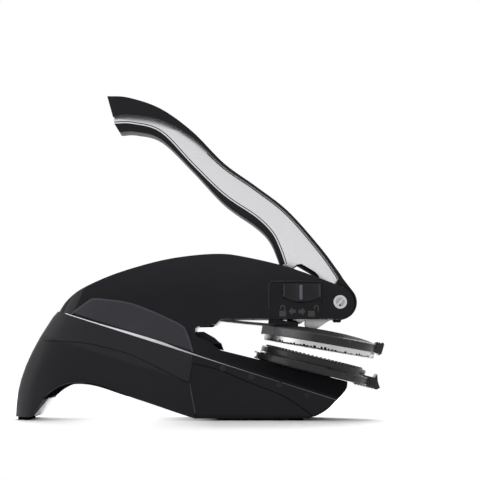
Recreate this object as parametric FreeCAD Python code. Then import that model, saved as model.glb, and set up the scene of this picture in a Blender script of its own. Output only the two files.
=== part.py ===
"""Desk seal embosser: lever press on a C-shaped frame, in its open position.

Millimetres and degrees.  +X points to the nose (the die end), +Z is up, the
origin is on the table under the middle of the footprint.  The lever turns
about the pivot pin in the nose, its lobe pushes the press arm down, and the
press arm swings about the middle of the leaf spring that carries it.

Names that end in _U, _V and _N are places along, across and above a jaw,
measured from the centre of its die's face.
"""
import FreeCAD, Part
import math
import os
from FreeCAD import Vector

# ================================================================ sizes
# ---- general fits
RUN_GAP = 0.05            # running fit, on the radius
SEAM_GAP = 0.3            # general gap between neighbouring parts
SKIN_GAP = 0.06           # glue line under pads and strips, and play round screws
CUT = 1.0                 # a cutting tool stands this far past the surface it opens

# ---- pivot
PIVOT = (62.5, 52.4)      # lever pivot, in front of the origin and above the table
PIN_R = 3.0
PIN_PROUD = 0.3           # pin head past the housing wall
PIN_CHAMFER = 0.4
PIN_RING = (1.86, 1.38)   # turned groove in the pin's face, outer and inner radius
PIN_DIMPLE_R = 0.7
CLIP_R = 4.6              # spring clips behind the frame plates
CLIP_T = 0.6
CLIP_MOUTH = 1.6          # half width of the clip's opening

# ---- lever
LEVER_TRAVEL = 18.0       # lever swing from open to pressed
LEVER_HALF = 7.8          # half width of the lever where it enters the housing
CORE_HALF = 4.8           # half width of the cast lever core
PLATE_T = 1.6             # chrome side plates of the lever
HUB_R = 7.0
HUB_COVER_T = 0.9         # band wrapped round the hub
HUB_BAND_END = -100.0     # the band ends here below the hub
HUB_BUMP = (2.6, 1.2, 1.0, 3.0)   # lug under the hub: reach back, forward, drop and half width
BUSH_T = 1.0
RIVET_R = 1.5
RIVETS = {"upper": (-26.0, 135.0), "middle": (14.0, 104.0), "lower": (45.0, 76.5)}
LOBE_R = 3.2              # rounded end of the pressing lobe
LOBE_U = -5.0
LOBE_GAP = 0.35           # lobe to thrust pad, lever open
LOBE_SPREAD = 38.0        # the lobe leaves the hub over this angle to each side
HOOK_R = (21.4, 26.4, 30.2)       # lip tip, hook inner and hook outer radius about the pivot
HOOK_TOP = 37.0           # angle where the hook ends on the core's band
LIP_CLEAR = 0.4           # extra angle over the lock pin's path
CAP_TOP = ((-42.4, 145.8), (-32.6, 145.0), (-18.2, 140.0), (-3.8, 129.7), (10.6, 115.3), (25.0, 104.9),
           (39.4, 93.7), (53.8, 77.5), (62.2, 66.2), (64.2, 63.1))
CAP_LOW = ((-39.8, 136.4), (-32.6, 137.2), (-18.2, 134.6), (-3.8, 125.6), (10.6, 112.6), (25.0, 102.6),
           (39.4, 91.0), (53.8, 73.9), (60.6, 64.9), (61.9, 63.1))
BAND_LOW = ((-39.4, 133.7), (-31.0, 133.6), (-18.2, 129.7), (-3.8, 114.8), (10.6, 100.9), (25.0, 91.0),
            (32.2, 83.8), (35.8, 76.6), (38.2, 69.6))
STRIP_LOW = ((-36.9, 129.8), (-29.8, 129.9), (-18.2, 126.5), (-3.8, 112.6), (10.6, 97.3), (25.0, 86.9),
             (31.2, 80.6), (34.6, 73.4), (36.6, 67.4))
CHROME_END = (60.8, 60.4)         # lower tip of the chrome band, beside the hub
CORE_NOTCH = ((52.5, 64.2), (43.9, 69.2), (41.0, 67.4))
PLATE_NOTCH = ((53.2, 64.6), (51.7, 66.2), (45.6, 69.8), (43.4, 69.5), (41.0, 67.4))
GRIP_PLAN = ((-48.0, 8.6), (-40.0, 10.0), (-26.0, 10.5), (-4.0, 9.4))   # cap half widths, tip to waist
WAIST_X = (12.0, 28.0, 70.0)      # from the waist on the cap is as wide as the lever
CAP_ROUND = 1.6

# ---- press arm on its leaf spring
LEAF_ROOT = (-3.0, 45.9)  # where the leaf spring leaves its clamp
LEAF_SLOPE = 6.5
LEAF_T = 1.2
LEAF_HALF = 7.0
LEAF_FREE = 22.0          # straight run of the leaf from its root
LEAF_REAR = -23.0         # rear end of the leaf and its clamp, from the root
CLAMP_FRONT = -2.5        # front end of block and clamp, from the root
SPRING_BLOCK_T = 5.0
SPRING_CLAMP_T = 2.4
SPRING_SCREWS = {"rear": -17.0, "front": -8.0}
FLEX_U = 11.7             # the press arm swings about this point of the leaf, from its root
PRESS_TRAVEL = 3.9        # press arm swing from open to pressed
PAPER_GAP = 0.25          # left over the border teeth when pressed
PRESS_CLAMP_T = 2.5
PRESS_CLAMP_L = 13.3
PRESS_SCREW_STEPS = {"rear": 3.5, "front": 11.0}    # from the rear end of the press arm
THRUST_PAD_U = (-8.5, 4.0)
PAD_CLEAR = 0.2           # leaf and thrust pad above the upper holder

# ---- dies, stacked on the sloping lower jaw
JAW_SLOPE = 13.8          # lower jaw and lower die, nose down
LOWER = (51.4, 27.5)      # centre of the lower die's face
DIE_OFFSET = 0.8          # upper die centre lies this much further forward
LOWER_FLANGE_R = 27.0
LOWER_FLANGE_T = 3.6
LOWER_STEP_R = 24.2
LOWER_STEP_T = 3.0
LOWER_DIE_R = 22.6
LOWER_DIE_T = 1.5
HOLDER_GAP = 0.2          # lower holder above the anvil plate
UPPER_HOLDER_R = 26.0
UPPER_HOLDER_T = 4.7
UPPER_DIE_R = 25.2
UPPER_DIE_T = 2.6
HOLDER_CHAMFER = 0.5
TOOTH_H = 0.8             # border teeth of the lower die
TOOTH_L = 1.8
TOOTH_COUNT = 72
RELIEF_H = 0.5            # raised rings and star of the lower die
STAR_R = 7.5
STAR_WAIST = 0.42         # inner points of the star, as a share of its radius
RING_RADII = (19.4, 13.0)
RING_W = 0.8
TAB_ROOT = 2.0            # a pull tab starts this far inside its ring
UPPER_TAB = (2.5, 6.5)    # reach past the ring and half width
LOWER_TAB = (4.6, 7.0)
TAB_TEETH = 8
NOTCH_SHARE = 0.28        # radius of a serration, as a share of its pitch
HEEL = (0.8, 6.0, 10.6, 14.0)     # stops behind the upper ring: reach, length, inner and outer side

# ---- slide rails that carry the two die holders
RAIL_NECK = 5.0           # half widths of the lower T rail
RAIL_HEAD = 8.0
RAIL_HEAD_T = 1.5
RAIL_FRONT = 14.0         # rails end this far in front of the die centre
RAIL_REAR = -24.0
PRESS_HEAD = 10.0         # half width and top of the upper rail's head
PRESS_HEAD_TOP = 5.2
ANVIL_NECK = 1.2
ANVIL_T = 3.0
ANVIL_U = (-26.0, 9.0)
RAIL_GAP = 0.3
RAIL_LIFT = 0.1           # play above and below a rail's head

# ---- frame plates and fasteners
FRAME_IN = 8.2            # inner half width between the steel frame plates
FRAME_T = 2.5
FRAME_FRONT = 58.0
SCREW_R = 1.7
SCREW_HEAD_R = 3.23
SCREW_HEAD_T = 1.8
SCREW_END = 2.0           # shell screws reach this far past the right frame plate
SOCKET_R = 1.45
CLAMP_HEAD_R = 3.06       # heads of the clamp screws and of the base bolt
SPACER_R = 3.5
BOSS_R = 4.6              # screw bosses inside the shells
BOSS_T = 1.6
HOUSING_SCREWS = {"rear": (-47.0, 50.8), "top": (-14.0, 64.0), "middle": (-33.0, 44.2)}
BASE_SCREWS = {"grip": (-50.0, 29.0), "front": (46.0, 9.2)}
BASE_BOLT_X = 22.0
BASE_BLOCK_HALF = 8.0     # half length of the block between the plates, round the bolt
BASE_BLOCK_TOP = 10.0
BOLT_HEAD_T = 1.2
BOLT_SINK = 0.4

# ---- return spring
SPRING_R = 0.5
SPRING_COIL_R = PIN_R + 2.4
SPRING_PITCH = 2 * SPRING_R + 0.05
SPRING_START = -62.0      # the lever leg leaves here, the frame leg below the pin
SPRING_END = 457.0
SPRING_LEG = 9.0
SPRING_BITE = 2.2         # depth of the legs' holes
SPRING_Y = LEVER_HALF - 0.1 - SPRING_R

# ---- plastic shells
WALL = 2.0
BASE_HALF = 22.0          # half width of the base at table level
NOSE_HALF = 19.6          # the same envelope at the nose, before the taper
TAPER = 0.09              # the envelope narrows this much per mm of height
ENVELOPE_FRONT = 72.0
REAR_LINE = ((-4.0, -82.5), (12.0, -81.5), (24.0, -78.1), (36.0, -72.3), (48.0, -64.9),
             (60.0, -58.5), (78.0, -56.0))          # height and X of the shells' rear line
LEDGE = 1.0               # the upper housing is this much slimmer than the base
NOSE_C = (PIVOT[0] - 0.95, PIVOT[1] - 0.35)
NOSE_R = 7.35
NOSE_START = 70.0         # the nose's round starts at this angle
CROWN_R = 2.6             # rounded top edge of the housing
THROAT_REAR = -2.0
JAW_FRONT = 65.4
SLOT_X = 12.5             # the lever slot in the housing's back starts here
SLOT_FLOOR = 43.0
ARM_SLOT = (5.0, 43.9)    # rear end and floor of the press arm's slot
SLOT_HALF = LEVER_HALF + 0.4
THROAT_BLOCK = ((-5.2, 33.6), (-5.2, 39.0), (1.5, 39.2), (6.2, 36.6), (9.4, 33.6))
TRIM_SLOPE = 17.6         # line between base and upper housing
TRIM_REAR = (-62.9, 47.9)
TRIM_X = (-60.0, 58.0)
TRIM_T = 1.1
CHIN_X = 60.4
PAD_PROUD = 0.8
BASE_LIFT = 0.9           # flat underside above the table
COVER_T = 2.0
COVER_X = (-64.0, 46.0)
COVER_GAP = 0.15
SEAM = ((-2.9, 30.0), (-4.5, 16.3), (-1.4, 0.0))    # joint between the rear grip and the front base
FOOT_R = 3.8
FOOT_SINK = 0.6
FOOT_AT = (42.1, 13.5)
REAR_FOOT = (-81.0, -76.2, 13.0, 1.4)               # rear and front X, half width and height
HEEL_PLATE_X = (-76.0, -66.8)
HEEL_PLATE_T = 1.3
HEEL_PLATE_HALF = 12.0

# ---- lock
LOCK_TRAVEL = 5.2
LOCK_PIN_R = 1.5
LOCK_PIN_X = 43.5         # lock pin, unlocked
LOCK_PIN_END = 0.9        # pin past the left frame plate
LOCK_Z = 56.6
BUTTON_X = 45.3
BUTTON_L = 17.0
BUTTON_H = 8.4
BUTTON_BOW = 2.2          # the lower edge bows down this much
BUTTON_FACE = 16.2        # outer face of the button, from the middle plane
BUTTON_CHAMFER = 0.7
RIB = (1.2, 0.6)          # half width and height of the button's rib
STEM = (3.0, 1.5)         # half length and half height of the button's stem
WINDOW_GAP = 0.4
POCKET_D = 0.6
POCKET_LOW = 9.2          # the recess reaches this far below the lock's line
SLIDE_T = 0.8
SLIDE_GAP = 0.2
SLIDE_HALF = 3.4
SLIDE_ENDS = (3.2, 5.0)   # slide plate behind the pin and in front of the button's middle

# ================================================================ worked-out sizes
FRAME_OUT = FRAME_IN + FRAME_T
CORE_OUT = CORE_HALF + PLATE_T
HUB_OUT = HUB_R + HUB_COVER_T
OPEN_SLOPE = JAW_SLOPE - PRESS_TRAVEL
JAW_TOP = -(LOWER_STEP_T + LOWER_FLANGE_T + HOLDER_GAP)
HOLDER_TOP = UPPER_DIE_T + UPPER_HOLDER_T
PAD_TOP = HOLDER_TOP + PAD_CLEAR
PRESS_REAR = 1.5 - UPPER_HOLDER_R
HOUSE_GROW = -LEDGE
BOSS_FACE = FRAME_OUT + BOSS_T
PIN_HALF = NOSE_HALF - TAPER * PIVOT[1] - LEDGE - 0.45 + PIN_PROUD
SCREWS = {**HOUSING_SCREWS, **BASE_SCREWS}
FAR = 100.0               # beyond the object in every direction
DEEP = 30.0               # beyond the shells sideways

parts = {}


# ================================================================ helpers
def point(x, z):
    return Vector(x, 0, z)


def line(a, b):
    return Part.LineSegment(point(*a), point(*b)).toShape()


def curve(*points):
    spline = Part.BSplineCurve()
    spline.interpolate([point(x, z) for x, z in points])
    return spline.toShape()


def polar(centre, radius, angle):
    a = math.radians(angle)
    return (centre[0] + radius * math.cos(a), centre[1] + radius * math.sin(a))


def arc(centre, radius, start, end):
    return Part.Arc(*(point(*polar(centre, radius, t)) for t in (start, (start + end) / 2, end))).toShape()


def face(*edges):
    return Part.Face(Part.Wire(edges))


def polygon(*points):
    return face(*(line(a, b) for a, b in zip(points, points[1:] + points[:1])))


def rounded(corners):
    """Polygon in XZ from (x, z, radius) corners, each one a tangent arc."""
    edges, ends = [], []
    for i, (x, z, radius) in enumerate(corners):
        p = point(x, z)
        before = point(*corners[i - 1][:2]) - p
        after = point(*corners[(i + 1) % len(corners)][:2]) - p
        before.normalize()
        after.normalize()
        half = before.getAngle(after) / 2
        reach = radius / math.tan(half)
        middle = before + after
        middle.normalize()
        start, end = p + before * reach, p + after * reach
        deep = p + middle * (radius / math.sin(half) - radius)
        ends.append((start, end))
        edges.append(Part.Arc(start, deep, end).toShape())
    for i, (start, end) in enumerate(ends):
        edges.append(Part.LineSegment(ends[i - 1][1], start).toShape())
    return Part.Face(Part.Wire(Part.__sortEdges__(edges)))


def inset(flat, distance):
    """Outline moved inwards, with its curved stretches redrawn as smooth splines."""
    shortest, steps = 0.4, 12
    edges = []
    for edge in flat.makeOffset2D(-distance).OuterWire.OrderedEdges:
        if edge.Length < shortest:
            continue
        straight = isinstance(edge.Curve, Part.Line)
        points = [point(p.x, p.z) for p in edge.discretize(2 if straight else steps)]
        if edge.Orientation == "Reversed":
            points.reverse()
        if edges:
            points[0] = last
        last = points[-1]
        if straight:
            edges.append(Part.LineSegment(points[0], points[-1]).toShape())
        else:
            spline = Part.BSplineCurve()
            spline.interpolate(points)
            edges.append(spline.toShape())
    return Part.Face(Part.Wire(edges))


def slab(flat, y0, y1):
    moved = flat.copy()
    moved.translate(Vector(0, y0, 0))
    return moved.extrude(Vector(0, y1 - y0, 0))


def both(flat, half):
    return slab(flat, -half, half)


def box(x0, x1, y0, y1, z0, z1):
    return Part.makeBox(x1 - x0, y1 - y0, z1 - z0, Vector(x0, y0, z0))


def rod_y(centre, radius, y0, y1):
    return Part.makeCylinder(radius, y1 - y0, Vector(centre[0], y0, centre[1]), Vector(0, 1, 0))


def disc(radius, n0, n1, u=0.0, v=0.0):
    return Part.makeCylinder(radius, n1 - n0, Vector(u, v, n0))


def ring(outer, inner, n0, n1):
    return cut(disc(outer, n0, n1), disc(inner, n0 - CUT, n1 + CUT))


def fuse(first, *others):
    return first.fuse(list(others)).removeSplitter()


def cut(body, *tools):
    return body.cut(list(tools))


def mirrored(shape):
    return shape.mirror(Vector(0, 0, 0), Vector(0, 1, 0))


def right_half(shape):
    return shape.common(box(-FAR, FAR, -FAR, 0, -FAR, FAR))


def left_half(shape):
    return shape.common(box(-FAR, FAR, 0, FAR, -FAR, FAR))


def turned(place, centre, angle):
    """Point of the XZ plane turned about +Y: a positive angle drops the nose."""
    a = math.radians(angle)
    x, z = place[0] - centre[0], place[1] - centre[1]
    return (centre[0] + x * math.cos(a) + z * math.sin(a),
            centre[1] - x * math.sin(a) + z * math.cos(a))


def slope_point(origin, slope, u, n):
    a = math.radians(slope)
    return (origin[0] + u * math.cos(a) + n * math.sin(a),
            origin[1] - u * math.sin(a) + n * math.cos(a))


def tilted(shape, origin, slope):
    """Place a shape built about the origin, X along a slope that falls to the front."""
    placed = shape.copy()
    placed.Placement = FreeCAD.Placement(
        point(*origin), FreeCAD.Rotation(Vector(0, 1, 0), slope)).multiply(placed.Placement)
    return placed


def middle_of(edge):
    return edge.valueAt((edge.FirstParameter + edge.LastParameter) / 2)


def follows(edge, outline):
    """Whether the edge, seen from the side, runs along the outline."""
    m = middle_of(edge)
    return Part.Vertex(point(m.x, m.z)).distToShape(outline)[0] < 0.05


def add(node, shape):
    parts[node] = shape


FLEX = slope_point(LEAF_ROOT, LEAF_SLOPE, FLEX_U, 0)
UPPER = turned(slope_point(LOWER, JAW_SLOPE, DIE_OFFSET, TOOTH_H + PAPER_GAP), FLEX, -PRESS_TRAVEL)
LOBE = slope_point(UPPER, OPEN_SLOPE, LOBE_U, PAD_TOP + LOBE_GAP + LOBE_R)


def press(u, n):
    return slope_point(UPPER, OPEN_SLOPE, u, n)


def trim_z(x):
    return TRIM_REAR[1] - math.tan(math.radians(TRIM_SLOPE)) * (x - TRIM_REAR[0])


def jaw_z(x, n):
    """Height of the plane n above the lower die's face, at x."""
    a = math.radians(JAW_SLOPE)
    return LOWER[1] - math.tan(a) * (x - LOWER[0]) + n / math.cos(a)


# ================================================================ envelope and side profiles
def envelope(grow):
    """Crowned outer volume shared by the base and the housing, grown sideways."""
    wires = []
    front = ENVELOPE_FRONT + grow
    for z, rear in REAR_LINE:
        rear -= grow
        wide = BASE_HALF - TAPER * z + grow
        nose = NOSE_HALF - TAPER * z + grow
        side = ((rear, 0.52 * wide), (rear + 3.2, 0.76 * wide), (rear + 11, 0.93 * wide),
                (rear + 34, wide), (10.0, wide), (PIVOT[0] - 12, nose + 0.6), (PIVOT[0] + 2, nose - 0.7),
                (front, nose - 2.2))
        right = Part.BSplineCurve()
        right.interpolate([Vector(x, -w, z) for x, w in side])
        left = Part.BSplineCurve()
        left.interpolate([Vector(x, w, z) for x, w in reversed(side)])
        (rear_x, rear_w), (front_x, front_w) = side[0], side[-1]
        nose_end = Part.LineSegment(Vector(front_x, -front_w, z), Vector(front_x, front_w, z))
        rear_end = Part.LineSegment(Vector(rear_x, rear_w, z), Vector(rear_x, -rear_w, z))
        wires.append(Part.Wire([right.toShape(), nose_end.toShape(), left.toShape(), rear_end.toShape()]))
    return Part.makeLoft(wires, True, False)


CHIN = (CHIN_X, trim_z(CHIN_X))


def back_curves():
    """The housing's back, from the trim line to the nose."""
    top_rear = (TRIM_REAR[0] - 0.5, trim_z(TRIM_REAR[0] - 0.5))
    crest = (8.8, 73.9)
    return (curve(top_rear, (-59.6, 53.4), (-52.4, 58.6), (-38.0, 64.9), (-20.0, 70.3), (-5.6, 72.9), crest),
            curve(crest, (19.6, 72.6), (37.6, 68.5), (52.0, 63.6), polar(NOSE_C, NOSE_R, NOSE_START)))


def housing_face():
    rear_back, front_back = back_curves()
    top_rear = (TRIM_REAR[0] - 0.5, trim_z(TRIM_REAR[0] - 0.5))
    nose_bottom = polar(NOSE_C, NOSE_R, -90)
    lip, step = (9.5, nose_bottom[1]), (7.0, 42.2)
    throat_top, throat_low = (THROAT_REAR, 41.0), (THROAT_REAR, 38.0)
    jaw_rear = (8.8, jaw_z(8.8, JAW_TOP))
    jaw_front = (JAW_FRONT, jaw_z(JAW_FRONT, JAW_TOP))
    return face(rear_back, front_back,
                arc(NOSE_C, NOSE_R, NOSE_START, -90),
                line(nose_bottom, lip), line(lip, step), line(step, throat_top), line(throat_top, throat_low),
                curve(throat_low, (3.6, 35.2), jaw_rear), line(jaw_rear, jaw_front),
                curve(jaw_front, (65.0, 14.2), (62.9, 11.3), CHIN), line(CHIN, top_rear))


def base_face():
    """Base below the trim line: its rear is left long, because the envelope shapes it."""
    foot_z, rear = REAR_FOOT[3], -90.0
    leg = (-74.9, foot_z)
    flat_rear, flat_front = (-2.0, BASE_LIFT), (47.5, BASE_LIFT)
    return face(
        line((rear, foot_z), leg),
        curve(leg, (-71.3, 5.6), (-67.4, 10.4), (-61.5, 14.6), (-54.0, 16.2), (-45.2, 15.2), (-34.4, 11.6),
              (-20.0, 6.9), (-9.2, 3.2), flat_rear),
        line(flat_rear, flat_front),
        curve(flat_front, (52.0, 2.3), (56.4, 4.9), CHIN),
        line(CHIN, (rear, trim_z(rear))),
        line((rear, trim_z(rear)), (rear, foot_z)))


def trim_band(below, above):
    """Parallelogram along the trim line, between two heights measured from it."""
    rear, front = TRIM_X[0] - 6.0, TRIM_X[1] + 1.0
    return polygon((rear, trim_z(rear) + below), (front, trim_z(front) + below),
                   (front, trim_z(front) + above), (rear, trim_z(rear) + above))


# ================================================================ frame
def slot_xz(x0, x1, z, radius):
    """Lengthwise slot outline with round ends."""
    return face(arc((x1, z), radius, 90, -90), line((x1, z - radius), (x0, z - radius)),
                arc((x0, z), radius, -90, -270), line((x0, z + radius), (x1, z + radius)))


def frame_plate():
    """Right frame plate: a C round the throat, inside the shells."""
    jaw_low = JAW_TOP - ANVIL_T
    round_nose = NOSE_R - WALL - SEAM_GAP
    arm_z = NOSE_C[1] - round_nose
    nose = NOSE_C[0] + round_nose
    throat = THROAT_REAR - 3.5
    corners = [(-55.0, 46.5, 3), (-45.0, 57.0, 6), (-18.0, 66.6, 8), (8.0, 70.0, 12), (36.0, 65.2, 12),
               (nose, NOSE_C[1] + 3.6, 4.8), (nose, arm_z, round_nose - 0.1), (throat, arm_z, 2),
               (throat, 30.4, 3), (6.0, jaw_z(6.0, jaw_low), 4),
               (FRAME_FRONT, jaw_z(FRAME_FRONT, jaw_low), 2), (FRAME_FRONT, 10.0, 2), (50.0, 4.0, 3),
               (2.0, 4.0, 5), (-12.0, 7.6, 5), (-44.0, 19.0, 5), (-58.0, 20.5, 5), (-61.0, 40.0, 6)]
    plate = slab(rounded(corners), -FRAME_OUT, -FRAME_IN)
    holes = [rod_y(c, SCREW_R + SKIN_GAP, -FRAME_OUT, -FRAME_IN) for c in SCREWS.values()]
    pin_hole = rod_y(PIVOT, PIN_R, -FRAME_OUT, -FRAME_IN)
    lock_slot = slot_xz(LOCK_PIN_X - LOCK_TRAVEL, LOCK_PIN_X, LOCK_Z, LOCK_PIN_R + SEAM_GAP)
    return cut(plate, pin_hole, slab(lock_slot, -FRAME_OUT, -FRAME_IN), *holes)


def build_frame():
    right = frame_plate()
    frame_tip = spring_hooks()[1]
    leg_hole = rod_y((frame_tip.x, frame_tip.z), SPRING_R + 0.1, FRAME_IN, FRAME_OUT)
    add("frame_plate_right", right)
    add("frame_plate_left", cut(mirrored(right), leg_hole))
    for name, centre in SCREWS.items():
        add("frame_spacer_" + name, cut(rod_y(centre, SPACER_R, -FRAME_IN, FRAME_IN),
                                        rod_y(centre, SCREW_R + SKIN_GAP, -FRAME_IN, FRAME_IN)))
        head = rod_y(centre, SCREW_HEAD_R, BOSS_FACE, BOSS_FACE + SCREW_HEAD_T)
        shaft = rod_y(centre, SCREW_R, -FRAME_OUT - SCREW_END, BOSS_FACE + 0.5)
        socket = rod_y(centre, SOCKET_R, BOSS_FACE + 0.7, BOSS_FACE + SCREW_HEAD_T + CUT)
        add("shell_screw_" + name, cut(fuse(shaft, head), socket))


def build_base_block():
    """Block between the frame plates and the bolt that holds the bottom cover to it."""
    block = box(BASE_BOLT_X - BASE_BLOCK_HALF, BASE_BOLT_X + BASE_BLOCK_HALF, -FRAME_IN, FRAME_IN,
                BASE_LIFT + COVER_T, BASE_BLOCK_TOP)
    add("base_block", cut(block, disc(SCREW_R, 0, BASE_BLOCK_TOP, BASE_BOLT_X)))
    low = BASE_LIFT + BOLT_SINK
    add("base_bolt", fuse(disc(SCREW_R, low, BASE_BLOCK_TOP - 0.2, BASE_BOLT_X),
                          disc(CLAMP_HEAD_R, low, low + BOLT_HEAD_T, BASE_BOLT_X)))


def build_anvil():
    """Plate on the lower jaw with the T rail that the lower holder slides on."""
    rear, front = ANVIL_U
    head_low = JAW_TOP + ANVIL_NECK
    plate = box(rear, front, -FRAME_OUT, FRAME_OUT, JAW_TOP - ANVIL_T, JAW_TOP)
    neck = box(RAIL_REAR, RAIL_FRONT, -RAIL_NECK, RAIL_NECK, JAW_TOP, head_low + RAIL_HEAD_T / 2)
    relief = box(front, RAIL_FRONT, -RAIL_NECK, RAIL_NECK, JAW_TOP, JAW_TOP + HOLDER_GAP)
    head = box(RAIL_REAR, RAIL_FRONT, -RAIL_HEAD, RAIL_HEAD, head_low, head_low + RAIL_HEAD_T)
    add("anvil_rail", tilted(fuse(plate, cut(neck, relief), head), LOWER, JAW_SLOPE))


def build_pivot():
    pin = rod_y(PIVOT, PIN_R, -PIN_HALF, PIN_HALF)
    rims = [e for e in pin.Edges if abs(abs(e.CenterOfMass.y) - PIN_HALF) < 0.01 and e.Length > CUT]
    pin = pin.makeChamfer(PIN_CHAMFER, rims)
    groove = cut(*(rod_y(PIVOT, r, PIN_HALF - 0.3, PIN_HALF + CUT) for r in PIN_RING))
    dimple = rod_y(PIVOT, PIN_DIMPLE_R, PIN_HALF - 0.5, PIN_HALF + CUT)
    add("pivot_pin", cut(pin, groove, mirrored(groove), dimple, mirrored(dimple)))
    clip = cut(rod_y(PIVOT, CLIP_R, FRAME_OUT, FRAME_OUT + CLIP_T),
               rod_y(PIVOT, PIN_R, FRAME_OUT, FRAME_OUT + CLIP_T),
               box(PIVOT[0] - CLIP_MOUTH, PIVOT[0] + CLIP_MOUTH, FRAME_OUT, FRAME_OUT + CLIP_T,
                   PIVOT[1] - CLIP_R - CUT, PIVOT[1]))
    add("pin_clip_left", clip)
    add("pin_clip_right", mirrored(clip))


# ================================================================ leaf spring and press arm
def build_leaf():
    """Leaf spring from its clamp behind the throat to the press arm, with the clamp parts."""
    half = LEAF_T / 2
    place = (LEAF_ROOT, LEAF_SLOPE)
    clamp_top = half + SPRING_CLAMP_T
    holes = [disc(SCREW_R, -half - SPRING_BLOCK_T - CUT, clamp_top + CUT, u) for u in SPRING_SCREWS.values()]
    block = box(LEAF_REAR, CLAMP_FRONT, -FRAME_IN, FRAME_IN, -half - SPRING_BLOCK_T, -half)
    clamp = box(LEAF_REAR, CLAMP_FRONT, -LEAF_HALF, LEAF_HALF, half, clamp_top)
    add("spring_block", tilted(cut(block, *holes), *place))
    add("spring_clamp", tilted(cut(clamp, *holes), *place))
    for name, u in SPRING_SCREWS.items():
        shaft = disc(SCREW_R, -half - SPRING_BLOCK_T + 0.4, clamp_top, u)
        head = disc(CLAMP_HEAD_R, clamp_top, clamp_top + 1.6, u)
        slot = box(u - 4, u + 4, -0.4, 0.4, clamp_top + 0.8, clamp_top + 1.6 + CUT)
        add("spring_screw_" + name, tilted(cut(fuse(shaft, head), slot), *place))
    upper = [slope_point(*place, LEAF_REAR, half), slope_point(*place, LEAF_FREE, half)]
    lower = [slope_point(*place, LEAF_FREE, -half), slope_point(*place, LEAF_REAR, -half)]
    front = THRUST_PAD_U[0] - SEAM_GAP
    seat = [press(PRESS_REAR, PAD_TOP), press(front, PAD_TOP),
            press(front, PAD_TOP - LEAF_T), press(PRESS_REAR, PAD_TOP - LEAF_T)]
    leaf = both(polygon(*upper, *seat, *lower), LEAF_HALF)
    holes = [tilted(hole, *place) for hole in holes]
    holes += [tilted(hole, UPPER, OPEN_SLOPE) for hole in press_screw_holes()]
    add("leaf_spring", cut(leaf, *holes))


def press_screw_holes():
    return [disc(SCREW_R, 0, PAD_TOP + PRESS_CLAMP_T + CUT, PRESS_REAR + step)
            for step in PRESS_SCREW_STEPS.values()]


def build_press_arm():
    """T rail with the thrust pad, and the clamp plate that ties it to the leaf."""
    place = (UPPER, OPEN_SLOPE)
    leaf_low = PAD_TOP - LEAF_T
    clamp_top = PAD_TOP + PRESS_CLAMP_T
    head_low = PRESS_HEAD_TOP - RAIL_HEAD_T
    head = box(PRESS_REAR, RAIL_FRONT, -PRESS_HEAD, PRESS_HEAD, head_low, PRESS_HEAD_TOP)
    neck = box(PRESS_REAR, RAIL_FRONT, -LEAF_HALF, LEAF_HALF, PRESS_HEAD_TOP, leaf_low)
    pad = box(*THRUST_PAD_U, -RAIL_NECK, RAIL_NECK, leaf_low, PAD_TOP)
    clamp = box(PRESS_REAR, PRESS_REAR + PRESS_CLAMP_L, -LEAF_HALF, LEAF_HALF, PAD_TOP, clamp_top)
    add("press_rail", tilted(cut(fuse(head, neck, pad), *press_screw_holes()), *place))
    add("press_clamp", tilted(cut(clamp, *press_screw_holes()), *place))
    for name, step in PRESS_SCREW_STEPS.items():
        shaft = disc(SCREW_R, head_low + 0.1, clamp_top, PRESS_REAR + step)
        screw_head = disc(SCREW_R * 1.7, clamp_top, clamp_top + 1.0, PRESS_REAR + step)
        add("press_screw_" + name, tilted(fuse(shaft, screw_head), *place))


# ================================================================ dies
def finger_tab(outline, half):
    """Pull tab from its side outline, with a serrated outer edge."""
    edge = max(u for u, n in outline)
    pitch = 2 * half / TAB_TEETH
    notches = [disc(pitch * NOTCH_SHARE, -DEEP, DEEP, edge, -half + (i + 0.5) * pitch)
               for i in range(TAB_TEETH)]
    return cut(both(polygon(*outline), half), *notches)


def rail_room(half, low, high):
    """Groove for a rail: open behind, closed just past the rail's front end."""
    return box(-FAR, RAIL_FRONT + RAIL_GAP, -half - RAIL_GAP, half + RAIL_GAP, low, high)


def relief_rings(inner_n, outer_n):
    return [ring(r, r - RING_W, inner_n, outer_n) for r in RING_RADII]


def build_upper_die():
    head_low = PRESS_HEAD_TOP - RAIL_HEAD_T
    body = disc(UPPER_HOLDER_R, UPPER_DIE_T, HOLDER_TOP)
    rim = [e for e in body.Edges if e.Length > UPPER_HOLDER_R * 6 and e.CenterOfMass.z > HOLDER_TOP - 0.1]
    body = body.makeChamfer(HOLDER_CHAMFER, rim)
    root, tip = UPPER_HOLDER_R - TAB_ROOT, UPPER_HOLDER_R + UPPER_TAB[0]
    tab = finger_tab(((root, UPPER_DIE_T), (tip - 1.2, UPPER_DIE_T), (tip, UPPER_DIE_T + 1.2),
                      (tip, HOLDER_TOP + 0.6), (tip - 2.2, HOLDER_TOP + 0.6), (root, HOLDER_TOP - 0.8)),
                     UPPER_TAB[1])
    reach, length, inner, outer = HEEL
    heel = box(-UPPER_HOLDER_R - reach, -UPPER_HOLDER_R + length, inner, outer, UPPER_DIE_T, HOLDER_TOP - 1.0)
    neck_room = rail_room(LEAF_HALF, PRESS_HEAD_TOP - RAIL_HEAD_T / 2, HOLDER_TOP + CUT)
    head_room = rail_room(PRESS_HEAD, head_low - RAIL_LIFT, PRESS_HEAD_TOP + RAIL_LIFT)
    holder = cut(fuse(body, tab, heel, mirrored(heel)), neck_room, head_room)
    add("upper_die_holder", tilted(holder, UPPER, OPEN_SLOPE))
    die = cut(disc(UPPER_DIE_R, 0, UPPER_DIE_T), *relief_rings(-CUT, RELIEF_H))
    add("upper_die", tilted(die, UPPER, OPEN_SLOPE))


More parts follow.
